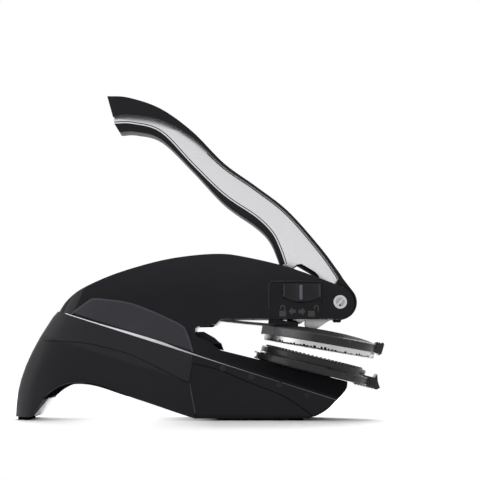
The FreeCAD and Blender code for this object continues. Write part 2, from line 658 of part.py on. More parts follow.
def star(radius, n0, n1):
    points = []
    for i in range(10):
        x, y = polar((0, 0), radius if i % 2 == 0 else radius * STAR_WAIST, 36 * i)
        points.append(Vector(x, y, n0))
    return Part.Face(Part.makePolygon(points + points[:1])).extrude(Vector(0, 0, n1 - n0))


def border_teeth():
    """Ring of equal teeth and gaps at the edge of the lower die."""
    outer = LOWER_DIE_R - 0.1
    inner = outer - TOOTH_L
    gap = math.pi * (outer + inner) / 2 / TOOTH_COUNT
    gaps = []
    for i in range(TOOTH_COUNT):
        slot = box(inner - CUT, outer + CUT, -gap / 2, gap / 2, 0, TOOTH_H + CUT)
        slot.rotate(Vector(0, 0, 0), Vector(0, 0, 1), 360.0 * i / TOOTH_COUNT)
        gaps.append(slot)
    return cut(ring(outer, inner, -0.2, TOOTH_H), *gaps)


def build_lower_die():
    bottom = JAW_TOP + HOLDER_GAP
    head_low = JAW_TOP + ANVIL_NECK
    flange = disc(LOWER_FLANGE_R, bottom, -LOWER_STEP_T)
    step = disc(LOWER_STEP_R, -LOWER_STEP_T - CUT, 0)
    seat = disc(LOWER_DIE_R, -LOWER_DIE_T, CUT)
    tip = LOWER_FLANGE_R + LOWER_TAB[0]
    tab = finger_tab(((LOWER_FLANGE_R - TAB_ROOT, bottom), (tip - 1.5, bottom - 0.6), (tip, bottom + 0.6),
                      (tip, bottom + 1.8), (LOWER_FLANGE_R + 0.6, -0.8), (LOWER_STEP_R - 1, -0.8)),
                     LOWER_TAB[1])
    neck_room = rail_room(RAIL_NECK, bottom - CUT, head_low + RAIL_HEAD_T / 2)
    head_room = rail_room(RAIL_HEAD, head_low - RAIL_LIFT, head_low + RAIL_HEAD_T + RAIL_LIFT)
    holder = cut(fuse(flange, step, tab), seat, neck_room, head_room)
    add("lower_die_holder", tilted(holder, LOWER, JAW_SLOPE))
    plate = disc(LOWER_DIE_R - 0.02, -LOWER_DIE_T, 0)
    die = fuse(plate, border_teeth(), star(STAR_R, -0.5, RELIEF_H), *relief_rings(0, RELIEF_H))
    add("lower_die", tilted(die, LOWER, JAW_SLOPE))


# ================================================================ lever
def band_face(notch):
    """Chrome band: between the cap and the lower strip, down to the hub and the notch over the hook."""
    hub_side = polar(PIVOT, HUB_R * 0.8, 100)
    neck = polar(PIVOT, HUB_R * 0.8, 150)
    corners = (CAP_LOW[-1], CHROME_END, hub_side, neck, *notch, BAND_LOW[-1])
    return face(curve(*CAP_LOW), *(line(a, b) for a, b in zip(corners, corners[1:])),
                curve(*reversed(BAND_LOW)), line(BAND_LOW[0], CAP_LOW[0]))


def sector(r0, r1, a0, a1):
    """Ring sector about the pivot; angles count up from straight back."""
    s, e = 180 - a0, 180 - a1
    return face(arc(PIVOT, r1, s, e), line(polar(PIVOT, r1, e), polar(PIVOT, r0, e)),
                arc(PIVOT, r0, e, s), line(polar(PIVOT, r0, s), polar(PIVOT, r1, s)))


def pin_angle(x):
    return math.degrees(math.atan2(LOCK_Z - PIVOT[1], PIVOT[0] - x))


def lip_angles():
    """Lock lip in the open pose: above the pin's path when open, under the locked pin when pressed."""
    room = LOCK_PIN_R + SEAM_GAP
    locked = LOCK_PIN_X - LOCK_TRAVEL
    reach = math.hypot(PIVOT[0] - locked, LOCK_Z - PIVOT[1])
    entering = PIVOT[0] - math.sqrt(HOOK_R[0] ** 2 - (LOCK_Z - PIVOT[1]) ** 2)
    low = pin_angle(entering) + math.degrees(math.asin(room / HOOK_R[0])) + LIP_CLEAR
    return low, pin_angle(locked) - math.degrees(math.asin(room / reach)) + LEVER_TRAVEL


def lock_hook():
    """Hook behind the hub, whose lip passes under the lock pin."""
    low, high = lip_angles()
    return fuse(both(sector(HOOK_R[1], HOOK_R[2], low, HOOK_TOP), CORE_HALF),
                both(sector(HOOK_R[0], HOOK_R[1] + 0.5, low, high), CORE_HALF))


def lobe():
    towards = math.degrees(math.atan2(LOBE[1] - PIVOT[1], LOBE[0] - PIVOT[0]))
    a, b = (polar(PIVOT, HUB_R * 0.95, towards + s * LOBE_SPREAD) for s in (-1, 1))
    left, right = polar(LOBE, LOBE_R, towards - 90), polar(LOBE, LOBE_R, towards + 90)
    return fuse(both(polygon(a, left, right, b), CORE_HALF), rod_y(LOBE, LOBE_R, -CORE_HALF, CORE_HALF))


def rivet_holes(y0, y1):
    return [rod_y(centre, RIVET_R, y0, y1) for centre in RIVETS.values()]


def build_lever():
    band = both(band_face(CORE_NOTCH), CORE_HALF)
    hook = lock_hook()
    add("lock_hook", cut(hook, band))
    hub_left = SEAM_GAP - FRAME_IN
    bush_r = PIN_R + RUN_GAP + BUSH_T
    hub = rod_y(PIVOT, HUB_R, -CORE_HALF, CORE_HALF)
    hub_ring = rod_y(PIVOT, bush_r + 0.55, hub_left, -CORE_HALF + 0.1)
    bore = rod_y(PIVOT, bush_r, hub_left - CUT, CORE_HALF + CUT)
    lever_tip = spring_hooks()[0]
    leg_hole = rod_y((lever_tip.x, lever_tip.z), SPRING_R + 0.1, CORE_HALF - SPRING_BITE, CORE_OUT)
    core = fuse(band, hub, hub_ring, lobe())
    add("lever_core", cut(core, bore, leg_hole, *rivet_holes(-CORE_HALF, CORE_HALF)))
    add("hub_bush", cut(rod_y(PIVOT, bush_r, hub_left, CORE_HALF),
                        rod_y(PIVOT, PIN_R + RUN_GAP, hub_left - CUT, CORE_HALF + CUT)))
    plate = cut(slab(band_face(PLATE_NOTCH), -CORE_OUT, -CORE_HALF),
                rod_y(PIVOT, HUB_R + 0.4, -CORE_OUT, -CORE_HALF), *rivet_holes(-CORE_OUT, -CORE_HALF))
    add("handle_plate_right", plate)
    add("handle_plate_left", cut(mirrored(plate), leg_hole))
    for name, centre in RIVETS.items():
        add("lever_rivet_" + name, rod_y(centre, RIVET_R, -CORE_OUT, CORE_OUT))
    add("handle_cap", handle_cap())
    add("handle_strip", cut(handle_strip(), hook, hub))
    add("hub_cover", hub_cover())


def handle_cap():
    """Soft grip on top of the lever, wider towards its tip."""
    top = curve(*CAP_TOP)
    side_view = face(top, line(CAP_TOP[-1], CAP_LOW[-1]), curve(*reversed(CAP_LOW)),
                     line(CAP_LOW[0], CAP_TOP[0]))
    low = HUB_R
    side = GRIP_PLAN + ((WAIST_X[0], LEVER_HALF + 0.1),) + tuple((x, LEVER_HALF) for x in WAIST_X[1:])
    plan, other = Part.BSplineCurve(), Part.BSplineCurve()
    plan.interpolate([Vector(x, -w, low) for x, w in side])
    other.interpolate([Vector(x, w, low) for x, w in reversed(side)])
    ends = [Part.LineSegment(Vector(x, s * w, low), Vector(x, -s * w, low)).toShape()
            for s, (x, w) in ((-1, side[-1]), (1, side[0]))]
    outline = Part.Face(Part.Wire([plan.toShape(), ends[0], other.toShape(), ends[1]]))
    shape = both(side_view, DEEP).common(outline.extrude(Vector(0, 0, 2 * FAR)))
    crown = [e for e in shape.Edges if e.Length > DEEP and follows(e, top)]
    return shape.makeFillet(CAP_ROUND, crown)


def handle_strip():
    strip = face(curve(*BAND_LOW), line(BAND_LOW[-1], STRIP_LOW[-1]), curve(*reversed(STRIP_LOW)),
                 line(STRIP_LOW[0], BAND_LOW[0]))
    return both(strip, CORE_OUT)


def hub_cover():
    """Strap that carries on from the end of the cap and wraps the hub, open behind for the lobe."""
    top, low = CAP_TOP[-1], CAP_LOW[-1]
    away = math.hypot(top[0] - PIVOT[0], top[1] - PIVOT[1])
    bearing = math.degrees(math.atan2(top[1] - PIVOT[1], top[0] - PIVOT[0]))
    tangent = bearing - math.degrees(math.acos(HUB_OUT / away))
    inner_top = polar(PIVOT, HUB_R, 90)
    strap = face(line(low, CHROME_END), line(CHROME_END, inner_top), arc(PIVOT, HUB_R, 90, HUB_BAND_END),
                 line(polar(PIVOT, HUB_R, HUB_BAND_END), polar(PIVOT, HUB_OUT, HUB_BAND_END)),
                 arc(PIVOT, HUB_OUT, HUB_BAND_END, tangent), line(polar(PIVOT, HUB_OUT, tangent), top),
                 line(top, low))
    back, forward, drop, half = HUB_BUMP
    level, slant = PIVOT[1] - HUB_OUT, 0.4
    bump = polygon((PIVOT[0] - back, level + 0.2), (PIVOT[0] - back + slant, level - drop),
                   (PIVOT[0] + forward - slant, level - drop), (PIVOT[0] + forward, level + 0.2))
    return fuse(both(strap, LEVER_HALF), both(bump, half))


# ================================================================ return spring
def spring_path():
    """Coil centre line: turns the lever's way while it moves in from the left frame plate."""
    steps = 24
    points = []
    for i in range(steps + 1):
        turn = SPRING_START + (SPRING_END - SPRING_START) * i / steps
        x, z = polar(PIVOT, SPRING_COIL_R, -turn)
        points.append(Vector(x, SPRING_Y - SPRING_PITCH * (turn - SPRING_START) / 360, z))
    coil = Part.BSplineCurve()
    coil.interpolate(points)
    start = (points[0], coil.tangent(coil.FirstParameter)[0] * -1)
    end = (points[-1], coil.tangent(coil.LastParameter)[0])
    return coil, start, end


def spring_hooks():
    """Where the two legs bend sideways into their holes."""
    _, start, end = spring_path()
    return start[0] + start[1] * SPRING_LEG, end[0] + end[1] * SPRING_LEG


def build_return_spring():
    """Torsion spring beside the hub: its legs bend into holes in the lever and the left frame plate."""
    coil, start, end = spring_path()
    wire = Part.Wire(Part.Circle(start[0], start[1], SPRING_R).toShape())
    body = Part.Wire(coil.toShape()).makePipeShell([wire], True, False)
    pieces = []
    for place, direction in (start, end):
        pieces.append(Part.makeCylinder(SPRING_R, SPRING_LEG, place, direction))
        pieces.append(Part.makeSphere(SPRING_R, place))
    for tip, reach in zip(spring_hooks(), (CORE_HALF - SPRING_BITE + 0.2, FRAME_IN + 1.5)):
        way = math.copysign(1, reach - tip.y)
        pieces.append(Part.makeSphere(SPRING_R, tip))
        pieces.append(Part.makeCylinder(SPRING_R, abs(reach - tip.y), tip, Vector(0, way, 0)))
    add("return_spring", body.fuse(pieces))


# ================================================================ lock
def button_face():
    """Lens outline of the lock button: straight top, bowed bottom."""
    x0, x1 = BUTTON_X - BUTTON_L / 2, BUTTON_X + BUTTON_L / 2
    low = LOCK_Z - BUTTON_H / 2
    top, side = low + BUTTON_H - SEAM_GAP, low + BUTTON_BOW
    return face(line((x0, side), (x0, top)), line((x0, top), (x1, top)), line((x1, top), (x1, side)),
                Part.Arc(point(x1, side), point(BUTTON_X, low), point(x0, side)).toShape())


def build_lock():
    slide_face = FRAME_OUT + SLIDE_GAP
    inside = slide_face + SLIDE_T
    button = slab(button_face(), -BUTTON_FACE, -inside)
    rim = [e for e in button.Edges if abs(e.CenterOfMass.y + BUTTON_FACE) < 0.01]
    floor = envelope(HOUSE_GROW - POCKET_D + SEAM_GAP)
    floor_locked = floor.copy()
    floor_locked.translate(Vector(LOCK_TRAVEL, 0, 0))
    button = cut(button.makeChamfer(BUTTON_CHAMFER, rim), floor, floor_locked)
    rib = box(BUTTON_X - RIB[0], BUTTON_X + RIB[0], -BUTTON_FACE - RIB[1], -BUTTON_FACE + CUT,
              LOCK_Z - BUTTON_H / 2 + 0.8, LOCK_Z + BUTTON_H / 2 - 1.0)
    stem = box(BUTTON_X - STEM[0], BUTTON_X + STEM[0], -BUTTON_FACE + CUT, -inside,
               LOCK_Z - STEM[1], LOCK_Z + STEM[1])
    add("lock_button", fuse(button, rib, stem))
    plate = box(LOCK_PIN_X - SLIDE_ENDS[0], BUTTON_X + SLIDE_ENDS[1], -inside, -slide_face,
                LOCK_Z - SLIDE_HALF, LOCK_Z + SLIDE_HALF)
    place = (LOCK_PIN_X, LOCK_Z)
    add("lock_slide", cut(plate, rod_y(place, LOCK_PIN_R, -inside - CUT, -slide_face + CUT)))
    add("lock_pin", rod_y(place, LOCK_PIN_R, -inside, FRAME_OUT + LOCK_PIN_END))


def lock_pocket():
    """Shallow recess in the right wall round the lock button and its symbols."""
    x0, x1 = BUTTON_X - LOCK_TRAVEL - BUTTON_L / 2 - 0.6, BUTTON_X + BUTTON_L / 2 + 0.6
    low, high = LOCK_Z - POCKET_LOW, LOCK_Z + BUTTON_H / 2 + 0.4
    outline = polygon((x0, low), (x1, low), (x1, high), (x0, high))
    return slab(outline, -DEEP, 0).cut(envelope(HOUSE_GROW - POCKET_D))


# ================================================================ shells
def bossed(shell, solid, screws):
    """Add screw bosses between the wall and the frame plates, then bore and counterbore them."""
    bosses, bores = [], []
    for centre in screws.values():
        bosses.append(rod_y(centre, BOSS_R, FRAME_OUT, DEEP).common(solid))
        bosses.append(rod_y(centre, BOSS_R, -DEEP, -FRAME_OUT).common(solid))
        bores.append(rod_y(centre, SCREW_R + SKIN_GAP, -FRAME_OUT - SCREW_END - 0.2, DEEP))
        bores.append(rod_y(centre, SCREW_HEAD_R + 0.1, BOSS_FACE, DEEP))
    return shell.fuse(bosses).cut(bores)


def hollow(profile, below, above):
    """Room inside a shell, left open along the trim line."""
    inner_envelope = envelope(below)
    return (both(inset(profile, WALL), DEEP).common(inner_envelope),
            both(trim_band(*above), DEEP).common(inner_envelope))


def build_housing():
    profile = housing_face()
    backs = back_curves()
    solid = both(profile, DEEP).common(envelope(HOUSE_GROW))
    crown = [e for e in solid.Edges if e.Length > BASE_HALF and any(follows(e, back) for back in backs)]
    solid = solid.makeFillet(CROWN_R, crown)
    lever_slot = box(SLOT_X, FAR, -SLOT_HALF, SLOT_HALF, SLOT_FLOOR, FAR)
    arm_slot = box(ARM_SLOT[0], FAR, -SLOT_HALF, SLOT_HALF, ARM_SLOT[1], PIVOT[1])
    throat = both(polygon(*THROAT_BLOCK), FRAME_IN)
    anvil_half = FRAME_OUT + SEAM_GAP
    anvil = tilted(box(ANVIL_U[0] - 0.4, ANVIL_U[1] + 0.4, -anvil_half, anvil_half, JAW_TOP - ANVIL_T - CUT,
                       JAW_TOP + CUT), LOWER, JAW_SLOPE)
    rooms = hollow(profile, HOUSE_GROW - WALL, (-CUT, WALL + 2.5))
    shell = cut(solid, *rooms, lever_slot, arm_slot, throat, anvil)
    clip_room = rod_y(PIVOT, CLIP_R + 0.4, -FRAME_OUT - CLIP_T - SEAM_GAP, FRAME_OUT + CLIP_T + SEAM_GAP)
    window_low, window_high = LOCK_Z - STEM[1] - WINDOW_GAP, LOCK_Z + STEM[1] + WINDOW_GAP
    window = box(BUTTON_X - LOCK_TRAVEL - STEM[0] - WINDOW_GAP, BUTTON_X + STEM[0] + WINDOW_GAP,
                 -DEEP, -FRAME_OUT, window_low, window_high)
    pin_hole = rod_y(PIVOT, PIN_R + 0.1, -DEEP, DEEP)
    shell = cut(bossed(shell, solid, HOUSING_SCREWS), pin_hole, clip_room, lock_pocket(), window)
    add("housing_right", right_half(shell))
    add("housing_left", left_half(shell))
    add("throat_block", throat)


def foot_holes():
    top = BASE_LIFT + FOOT_SINK
    return [disc(FOOT_R + RUN_GAP, BASE_LIFT, top, FOOT_AT[0], s * FOOT_AT[1]) for s in (-1, 1)]


def build_base():
    """Front base, rear grip and the bottom cover between their walls."""
    profile = base_face()
    solid = both(profile, DEEP).common(envelope(0))
    raised = profile.copy()
    raised.translate(Vector(0, 0, COVER_T))
    floor = both(profile, DEEP).cut(both(raised, DEEP + CUT)).common(box(*COVER_X, -DEEP, DEEP, -CUT, FAR))
    rooms = hollow(profile, -WALL, (-WALL - 2.5, CUT))
    shell = bossed(cut(solid, *rooms, floor.common(envelope(-WALL))), solid, BASE_SCREWS)
    top, bend, foot = SEAM
    rear_side = both(polygon((-FAR, top[1]), top, bend, foot, (foot[0], -CUT), (-FAR, -CUT)), FAR)
    above = box(-FAR, top[0], -FAR, FAR, top[1], FAR)
    add("base_front", cut(shell, rear_side, above, *foot_holes()))
    add("base_grip", shell.common(rear_side.fuse(above)))
    cover = floor.common(envelope(-WALL - COVER_GAP))
    bolt_hole = disc(SCREW_R, -CUT, BASE_BLOCK_TOP, BASE_BOLT_X)
    bolt_seat = disc(CLAMP_HEAD_R + 0.1, BASE_LIFT, BASE_LIFT + BOLT_SINK + BOLT_HEAD_T, BASE_BOLT_X)
    add("bottom_cover", cut(cover, bolt_hole, bolt_seat, *foot_holes()))


def build_feet():
    for name, s in (("right", -1), ("left", 1)):
        add("front_foot_" + name, disc(FOOT_R, 0, BASE_LIFT + FOOT_SINK, FOOT_AT[0], s * FOOT_AT[1]))
    rear, front, half, height = REAR_FOOT
    foot = box(rear, front, -half, half, 0, height)
    upright = [e for e in foot.Edges if abs(e.tangentAt(e.FirstParameter).z) > 0.9]
    add("rear_foot", foot.makeFillet(1.5, upright))


def build_heel():
    """Satin plate on the inner face of the rear leg."""
    leg = base_face()
    forward = leg.copy()
    forward.translate(Vector(HEEL_PLATE_T, 0, -0.5))
    room = box(*HEEL_PLATE_X, -DEEP, DEEP, REAR_FOOT[3] + 0.2, 12.0)
    add("rear_heel_plate", both(forward, HEEL_PLATE_HALF).cut(both(leg, DEEP)).common(room))


def pad_face():
    """Name pad outline, standing on the trim line."""
    over = TRIM_T + SEAM_GAP
    rear, front = (-57.4, trim_z(-57.4) + over), (-2.6, trim_z(-2.6) + over)
    corner, top, shoulder = (-48.6, 54.1), (-44.1, 54.0), (-6.7, 41.3)
    return face(line(rear, corner), line(corner, top), curve(top, (-29.9, 51.8), (-12.1, 44.4), shoulder),
                line(shoulder, front), line(front, rear))


def build_trim_and_pads():
    wall = envelope(HOUSE_GROW + SKIN_GAP)
    trim = both(trim_band(0.0, TRIM_T), DEEP).common(envelope(0.1)).cut(wall)
    trim = trim.common(box(*TRIM_X, -DEEP, DEEP, 0, FAR))
    add("trim_strip_right", right_half(trim))
    add("trim_strip_left", left_half(trim))
    pad = both(pad_face(), DEEP).common(envelope(HOUSE_GROW + PAD_PROUD)).cut(wall)
    add("name_pad_right", right_half(pad))
    add("name_pad_left", left_half(pad))


def main():
    os.makedirs("parts", exist_ok=True)
    for build in (build_frame, build_base_block, build_anvil, build_pivot, build_leaf, build_press_arm,
                  build_upper_die, build_lower_die, build_lever, build_return_spring, build_lock,
                  build_housing, build_base, build_feet, build_heel, build_trim_and_pads):
        build()
    for node, shape in parts.items():
        if shape.ShapeType == "Compound" and len(shape.Solids) == 1:
            shape = shape.Solids[0]
        size = shape.BoundBox
        print("%-22s solids %d valid %s vol %9.1f  x %.1f..%.1f y %.1f..%.1f z %.1f..%.1f" % (
            node, len(shape.Solids), shape.isValid(), shape.Volume, size.XMin, size.XMax,
            size.YMin, size.YMax, size.ZMin, size.ZMax))
        shape.exportStep("parts/%s.step" % node)


main()
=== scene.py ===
"""Desk seal embosser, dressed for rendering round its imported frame.

Lengths are in millimetres and become metres where Blender is called.  +X points
to the nose, +Z is up, and the right wall of the press is at -Y.
"""
import math
import random
from contextlib import contextmanager

import bpy
from bpy.props import FloatProperty, FloatVectorProperty, PointerProperty
from mathutils import Matrix, Vector


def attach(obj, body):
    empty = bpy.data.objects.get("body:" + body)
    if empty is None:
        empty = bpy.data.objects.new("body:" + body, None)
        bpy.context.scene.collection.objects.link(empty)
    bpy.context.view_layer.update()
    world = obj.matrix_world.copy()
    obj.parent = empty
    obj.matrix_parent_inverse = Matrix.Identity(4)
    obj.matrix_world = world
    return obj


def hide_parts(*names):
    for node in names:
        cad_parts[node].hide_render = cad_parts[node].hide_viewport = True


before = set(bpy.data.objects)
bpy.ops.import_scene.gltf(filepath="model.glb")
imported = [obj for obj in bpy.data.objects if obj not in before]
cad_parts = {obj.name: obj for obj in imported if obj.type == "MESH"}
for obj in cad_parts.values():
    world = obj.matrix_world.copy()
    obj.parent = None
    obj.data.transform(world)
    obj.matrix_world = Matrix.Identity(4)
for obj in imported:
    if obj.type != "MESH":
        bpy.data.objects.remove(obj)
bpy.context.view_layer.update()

bl_info = {
    "name": "Desk Seal Embosser",
    "version": (1, 0, 0),
    "blender": (4, 5, 0),
    "location": "View3D > Sidebar > Embosser",
    "description": "Models and finishes the visible pieces of a desk seal embosser",
    "category": "Object",
}

MM = 0.001
FLAT = 30.0  # half thickness of a plate before it is draped on the envelope
REAR_TURN = -52.0  # the plan of the shells turns in behind this

# ---- mechanism
PIVOT = (62.5, 52.4)
PIN_R = 3.0
LOWER = (51.4, 27.5)  # centre of the lower die's face
LOWER_SLOPE = 13.8
UPPER = (53.431, 31.346)  # centre of the upper die's face, press open
UPPER_SLOPE = 9.9
PIN_HALF = 13.74  # half length of the pivot pin
PIN_RECESS_R = 1.95  # the sunk disc in both ends of the pin
PIN_RECESS_D = 0.35
PIN_BAR_SLOPE = -45

# ---- outer envelope of the shells
BASE_HALF = 22.0  # half widths at z = 0, at the base and at the nose
NOSE_HALF = 19.6
TAPER = 0.09  # narrowing per millimetre of height, on each side
LEDGE = 1.0  # the housing stands in from the base by this much
WALL = 2.0
REAR_LINE = ((-4, -82.5), (12, -81.5), (24, -78.1), (36, -72.3), (48, -64.9), (60, -58.5), (78, -56))
TRIM = (-62.9, 47.9)  # a place on the lower edge of the trim line
TRIM_SLOPE = 17.6
TRIM_T = 1.1
JAW_TOP = -6.8  # top of the lower jaw under the lower die's face
NOSE = (61.55, 52.05)  # centre of the rounded nose
NOSE_R = 7.35
SEAM_BEND = (-4.5, 16.3)  # bend of the joint between rear grip and front base
SEAM_FOOT_X = -1.5
SEAM_GAP = 0.12
SPLIT_GAP = 0.12  # between the two halves of the housing
WELD = 0.004  # points nearer than this become one
BASE_LIFT = 0.9
SLOT_X = 12.5  # rear end of the lever's slot
SLOT_HALF = 8.2
SLOT_Z = 43.0
FRAME_OUT = 10.7  # outer faces of the frame plates
HOUSING_SCREWS = ((-47.0, 50.8), (-14.0, 64.0), (-33.0, 44.2))
BASE_SCREWS = ((-50.0, 29.0), (46.0, 9.2))
BORE_R = 3.4
BORE_FLOOR = 12.3
BOSS_R = 4.6

CREASE_FALL = 0.31  # slope of the crease in the rear grip
CREASE_RISE = 15.0  # its height at x = 0
REAR_CREASE = ((-61.9, 34.9), (-50.0, 34.0), (-41.2, 32.0), (-31.3, 29.3), (-21.4, 24.8), (-9.7, 19.0))
FRONT_CREASE = ((8.0, 22.4), (18.0, 18.3), (28.4, 14.2), (36.0, 11.2), (43.6, 6.6))
WALL_LEAN = 0.03  # the wall below a crease leans in by this much per millimetre
MARKS = ((10.3, 22.9), (23.0, 19.3), (35.3, 15.5), (47.7, 11.0))
MARK_R = 1.5
MARK_PROUD = 0.25
# painted highlight line just inside the edge of a name pad: its inset and width
PAD_HIGHLIGHT_IN = 0.35
PAD_HIGHLIGHT_W = 0.55

# ---- dies
LOWER_FLANGE_R = 27.0
LOWER_STEP_R = 24.2
LOWER_DIE_R = 22.6
UPPER_HOLDER_R = 26.0
UPPER_DIE_R = 25.2
UPPER_DIE_T = 2.6
LOWER_DIE_T = 1.5
HOLDER_TOP = 7.3
GROOVE_END = 14.3  # front end of the rail grooves
TAB_TEETH = 8
TOOTH_COUNT = 72
BEAD_COUNT = 40
NOTCH_COUNT = 100
NOTCH_W = (0.5, 1.3)  # least and most
NOTCH_H = (0.5, 1.2)
NOTCH_SKIPPED = 0.15  # share of the notches that is left out
TOOTH_H = 0.8
RELIEF_H = 0.5
RING_RADII = (19.4, 13.0)  # outer radii of the raised and sunk rings
RING_W = 0.8
STAR_R = 7.5
STAR_WAIST = 0.42  # inner over outer radius
LATHE_PITCH = 0.35  # of the rings in the dies' turned faces
SPIN_STEPS = 128

# ---- lock
LOCK_Z = 56.6
LOCK_TRAVEL = 5.2
BUTTON_X = 45.3
BUTTON_L = 17.0
BUTTON_H = 8.4
BUTTON_FACE = 16.2  # outer face of the button from the middle plane
BUTTON_BOW = 2.2
SCOOP_X = 4.9  # middle of a scoop from the middle of the button
SCOOP_HALF = 3.3
STEM_X = 3.0
STEM_Z = 1.5
POCKET_D = 0.6  # depth of the recess
SYMBOL_X = (36.8, 41.0, 45.4, 49.6)

# ---- lever
CORE_OUT = 6.4
PLATE_IN = 4.8
LEVER_HALF = 7.8
HUB_R = 7.0
HUB_OUT = 7.9
LOBE = (50.405, 43.09)  # middle of the rounded end of the pressing lobe
LOBE_R = 3.2
SHOE_SKIN = 0.08  # the bright shoe stands over the lobe by this much
SHOE_ROOT = 38  # degrees that it covers of the hub on each side
HOOK_ROOM_R = 30.4
LINE_IN = 0.75  # middle of a painted groove-shade line, from the plate's edge
LINE_W = 0.4
CAP_THICK = -12.0  # the grip cap is thick behind this
GRIP_HALF = ((-48.0, 8.6), (-40.0, 10.0), (-26.0, 10.5), (-4.0, 9.4), (12.0, 7.9), (28.0, 7.8), (70.0, 7.8))
CAP_TOP = ((-42.4, 145.8), (-32.6, 145.0), (-18.2, 140.0), (-3.8, 129.7), (10.6, 115.3), (25.0, 104.9),
           (39.4, 93.7), (53.8, 77.5), (62.2, 66.2), (64.2, 63.1))
CAP_LOW = ((-39.8, 136.4), (-32.6, 137.2), (-18.2, 134.8), (-3.8, 127.0), (10.6, 113.9), (25.0, 103.8),
           (39.4, 92.4), (53.8, 75.7), (61.1, 65.4), (62.3, 63.1))
BAND_LOW = ((-39.4, 133.7), (-31.0, 133.6), (-18.2, 129.7), (-3.8, 114.8), (10.6, 100.9), (25.0, 91.0),
            (32.2, 83.8), (35.8, 76.6), (38.2, 69.6))
STRIP_LOW = ((-36.9, 129.8), (-29.8, 129.9), (-18.2, 126.5), (-3.8, 112.6), (10.6, 97.3), (25.0, 86.9),
             (31.2, 80.6), (34.6, 73.4), (36.6, 67.4))
CHROME_END = (60.8, 60.4)
PLATE_NOTCH = ((53.2, 64.6), (51.7, 66.2), (45.6, 69.8), (43.4, 69.5), (41.0, 67.4))

# ---- pieces of the frame that keep their own shape, by finish
KEPT_NODES = {
    "steel": ("frame_plate_right", "frame_plate_left", "frame_spacer_rear", "frame_spacer_top",
              "frame_spacer_middle", "frame_spacer_grip", "frame_spacer_front", "base_block", "anvil_rail",
              "pin_clip_left", "pin_clip_right", "press_rail", "lock_slide", "lock_pin", "spring_block",
              "lock_hook"),
    "dark_steel": ("shell_screw_rear", "shell_screw_top", "shell_screw_middle", "shell_screw_grip",
                   "shell_screw_front", "base_bolt", "spring_clamp", "press_clamp", "press_screw_rear",
                   "press_screw_front", "spring_screw_rear", "spring_screw_front"),
    "spring_steel": ("leaf_spring", "return_spring"),
    "lever_black": ("lever_core",),
    "bronze": ("hub_bush",),
    "soft_grey": ("throat_block",),
    "rubber": ("front_foot_right", "front_foot_left", "rear_foot", "bottom_cover"),
}

# ---- where finishes fade, in metres: at the first value not at all, at the second fully
DULL_SHADE_Z = (0.044, 0.040)  # dull jaw behind the lower die, darkened there as painted shade of the dies
DULL_SHADE_X = (-0.002, 0.030)
PAINTED_TOP_LIGHT_Z = (0.055, 0.078)  # painted highlight: paler top of the housing, as if lit from above
HOLDER_MATT_N = (0.0062, 0.0070)  # matt top of the upper holder
# painted reflection band on the rear of the upper holder's side
HOLDER_REFLECTION_U = (-0.004, -0.012)
TRIM_DARK_X = (-0.030, 0.030)  # the trim line darkens towards the nose

# ---- stage
WORLD_LIGHT = 0.45  # strength of the surroundings where they only light
LAMPS = (("overhead", (0.0, 0.1, 0.9), (1.0, 1.0), 4.0),
         ("side", (-1.0, -0.25, 0.35), (1.0, 0.7), 4.5),
         ("back", (0.0, 0.7, 0.6), (0.9, 0.6), 13.0))
FLOOR_FADE = (0.25, 0.6)  # the floor turns plain white over these distances, in metres
ARCH_MIDDLE = 0.034  # of the opening under the base, in metres behind the origin
ARCH_FADE = (0.042, 0.014)  # painted light: plain white again towards its middle, over the shadow there
PIXEL = 0.45  # of the rendered view, in millimetres
VIEW_W = 480 * PIXEL
VIEW_MIDDLE = ((240 - 200.5) * PIXEL, (420.2 - 240) * PIXEL)
NEAR_WALL = 10  # the view is VIEW_W wide this far in front of the middle plane
SENSOR_W = 36.0


# ================================================================ sizes and colours
def length(name, description, default):
    return FloatProperty(name=name, description=description, default=default * MM, unit="LENGTH",
                         precision=5)


def colour(name, description, default):
    return FloatVectorProperty(name=name, description=description, default=default, subtype="COLOR",
                               size=3, min=0.0, max=1.0)


class EmbosserSizes(bpy.types.PropertyGroup):
    """Sizes of the modelled detail."""
    crown: length("Crown", "Rounding along the top of the housing", 2.6)
    edge: length("Edge", "Rounding of the other shell edges", 0.5)
    pad_proud: length("Pad", "Height of the name pads over the wall", 0.8)
    crease: length("Crease", "Depth of the styling creases in the base", 0.3)
    scoop: length("Scoop", "Depth of the finger scoops in the lock button", 0.9)
    print_height: length("Print", "Thickness of the printed symbols", 0.14)
    camera_distance: length("Camera distance", "Camera to the middle plane", 700.0)
    camera_height: length("Camera height", "Camera above the table", 30.0)


class EmbosserColours(bpy.types.PropertyGroup):
    """Colours of the finishes."""
    gloss: colour("Housing", "Polished black plastic", (0.0058, 0.0056, 0.0073))
    soft: colour("Soft grey", "Soft-touch plastic of the grip and pads", (0.0112, 0.0109, 0.0134))
    plate: colour("Lever plates", "Satin chrome of the lever", (0.70, 0.70, 0.72))
    die: colour("Dies", "Machined die metal", (0.50, 0.50, 0.51))
    ring: colour("Die rings", "Black die holders", (0.0240, 0.0240, 0.0258))
    trim: colour("Trim", "Satin grey trim line", (0.80, 0.80, 0.82))
    floor: colour("Floor", "Studio floor", (0.86, 0.86, 0.86))


def size_of(name):
    """A size from the panel, in millimetres."""
    return getattr(bpy.context.scene.embosser_sizes, name) / MM


# ================================================================ shader expressions
def seen_rays(tree):
    """Socket that is 1 where the camera, a reflection or a clear piece looks."""
    rays = tree.nodes.new("ShaderNodeLightPath")
    seen = rays.outputs["Is Camera Ray"]
    for kind in ("Is Glossy Ray", "Is Transmission Ray"):
        either = tree.nodes.new("ShaderNodeMath")
        either.operation = "MAXIMUM"
        tree.links.new(seen, either.inputs[0])
        tree.links.new(rays.outputs[kind], either.inputs[1])
        seen = either.outputs[0]
    return seen


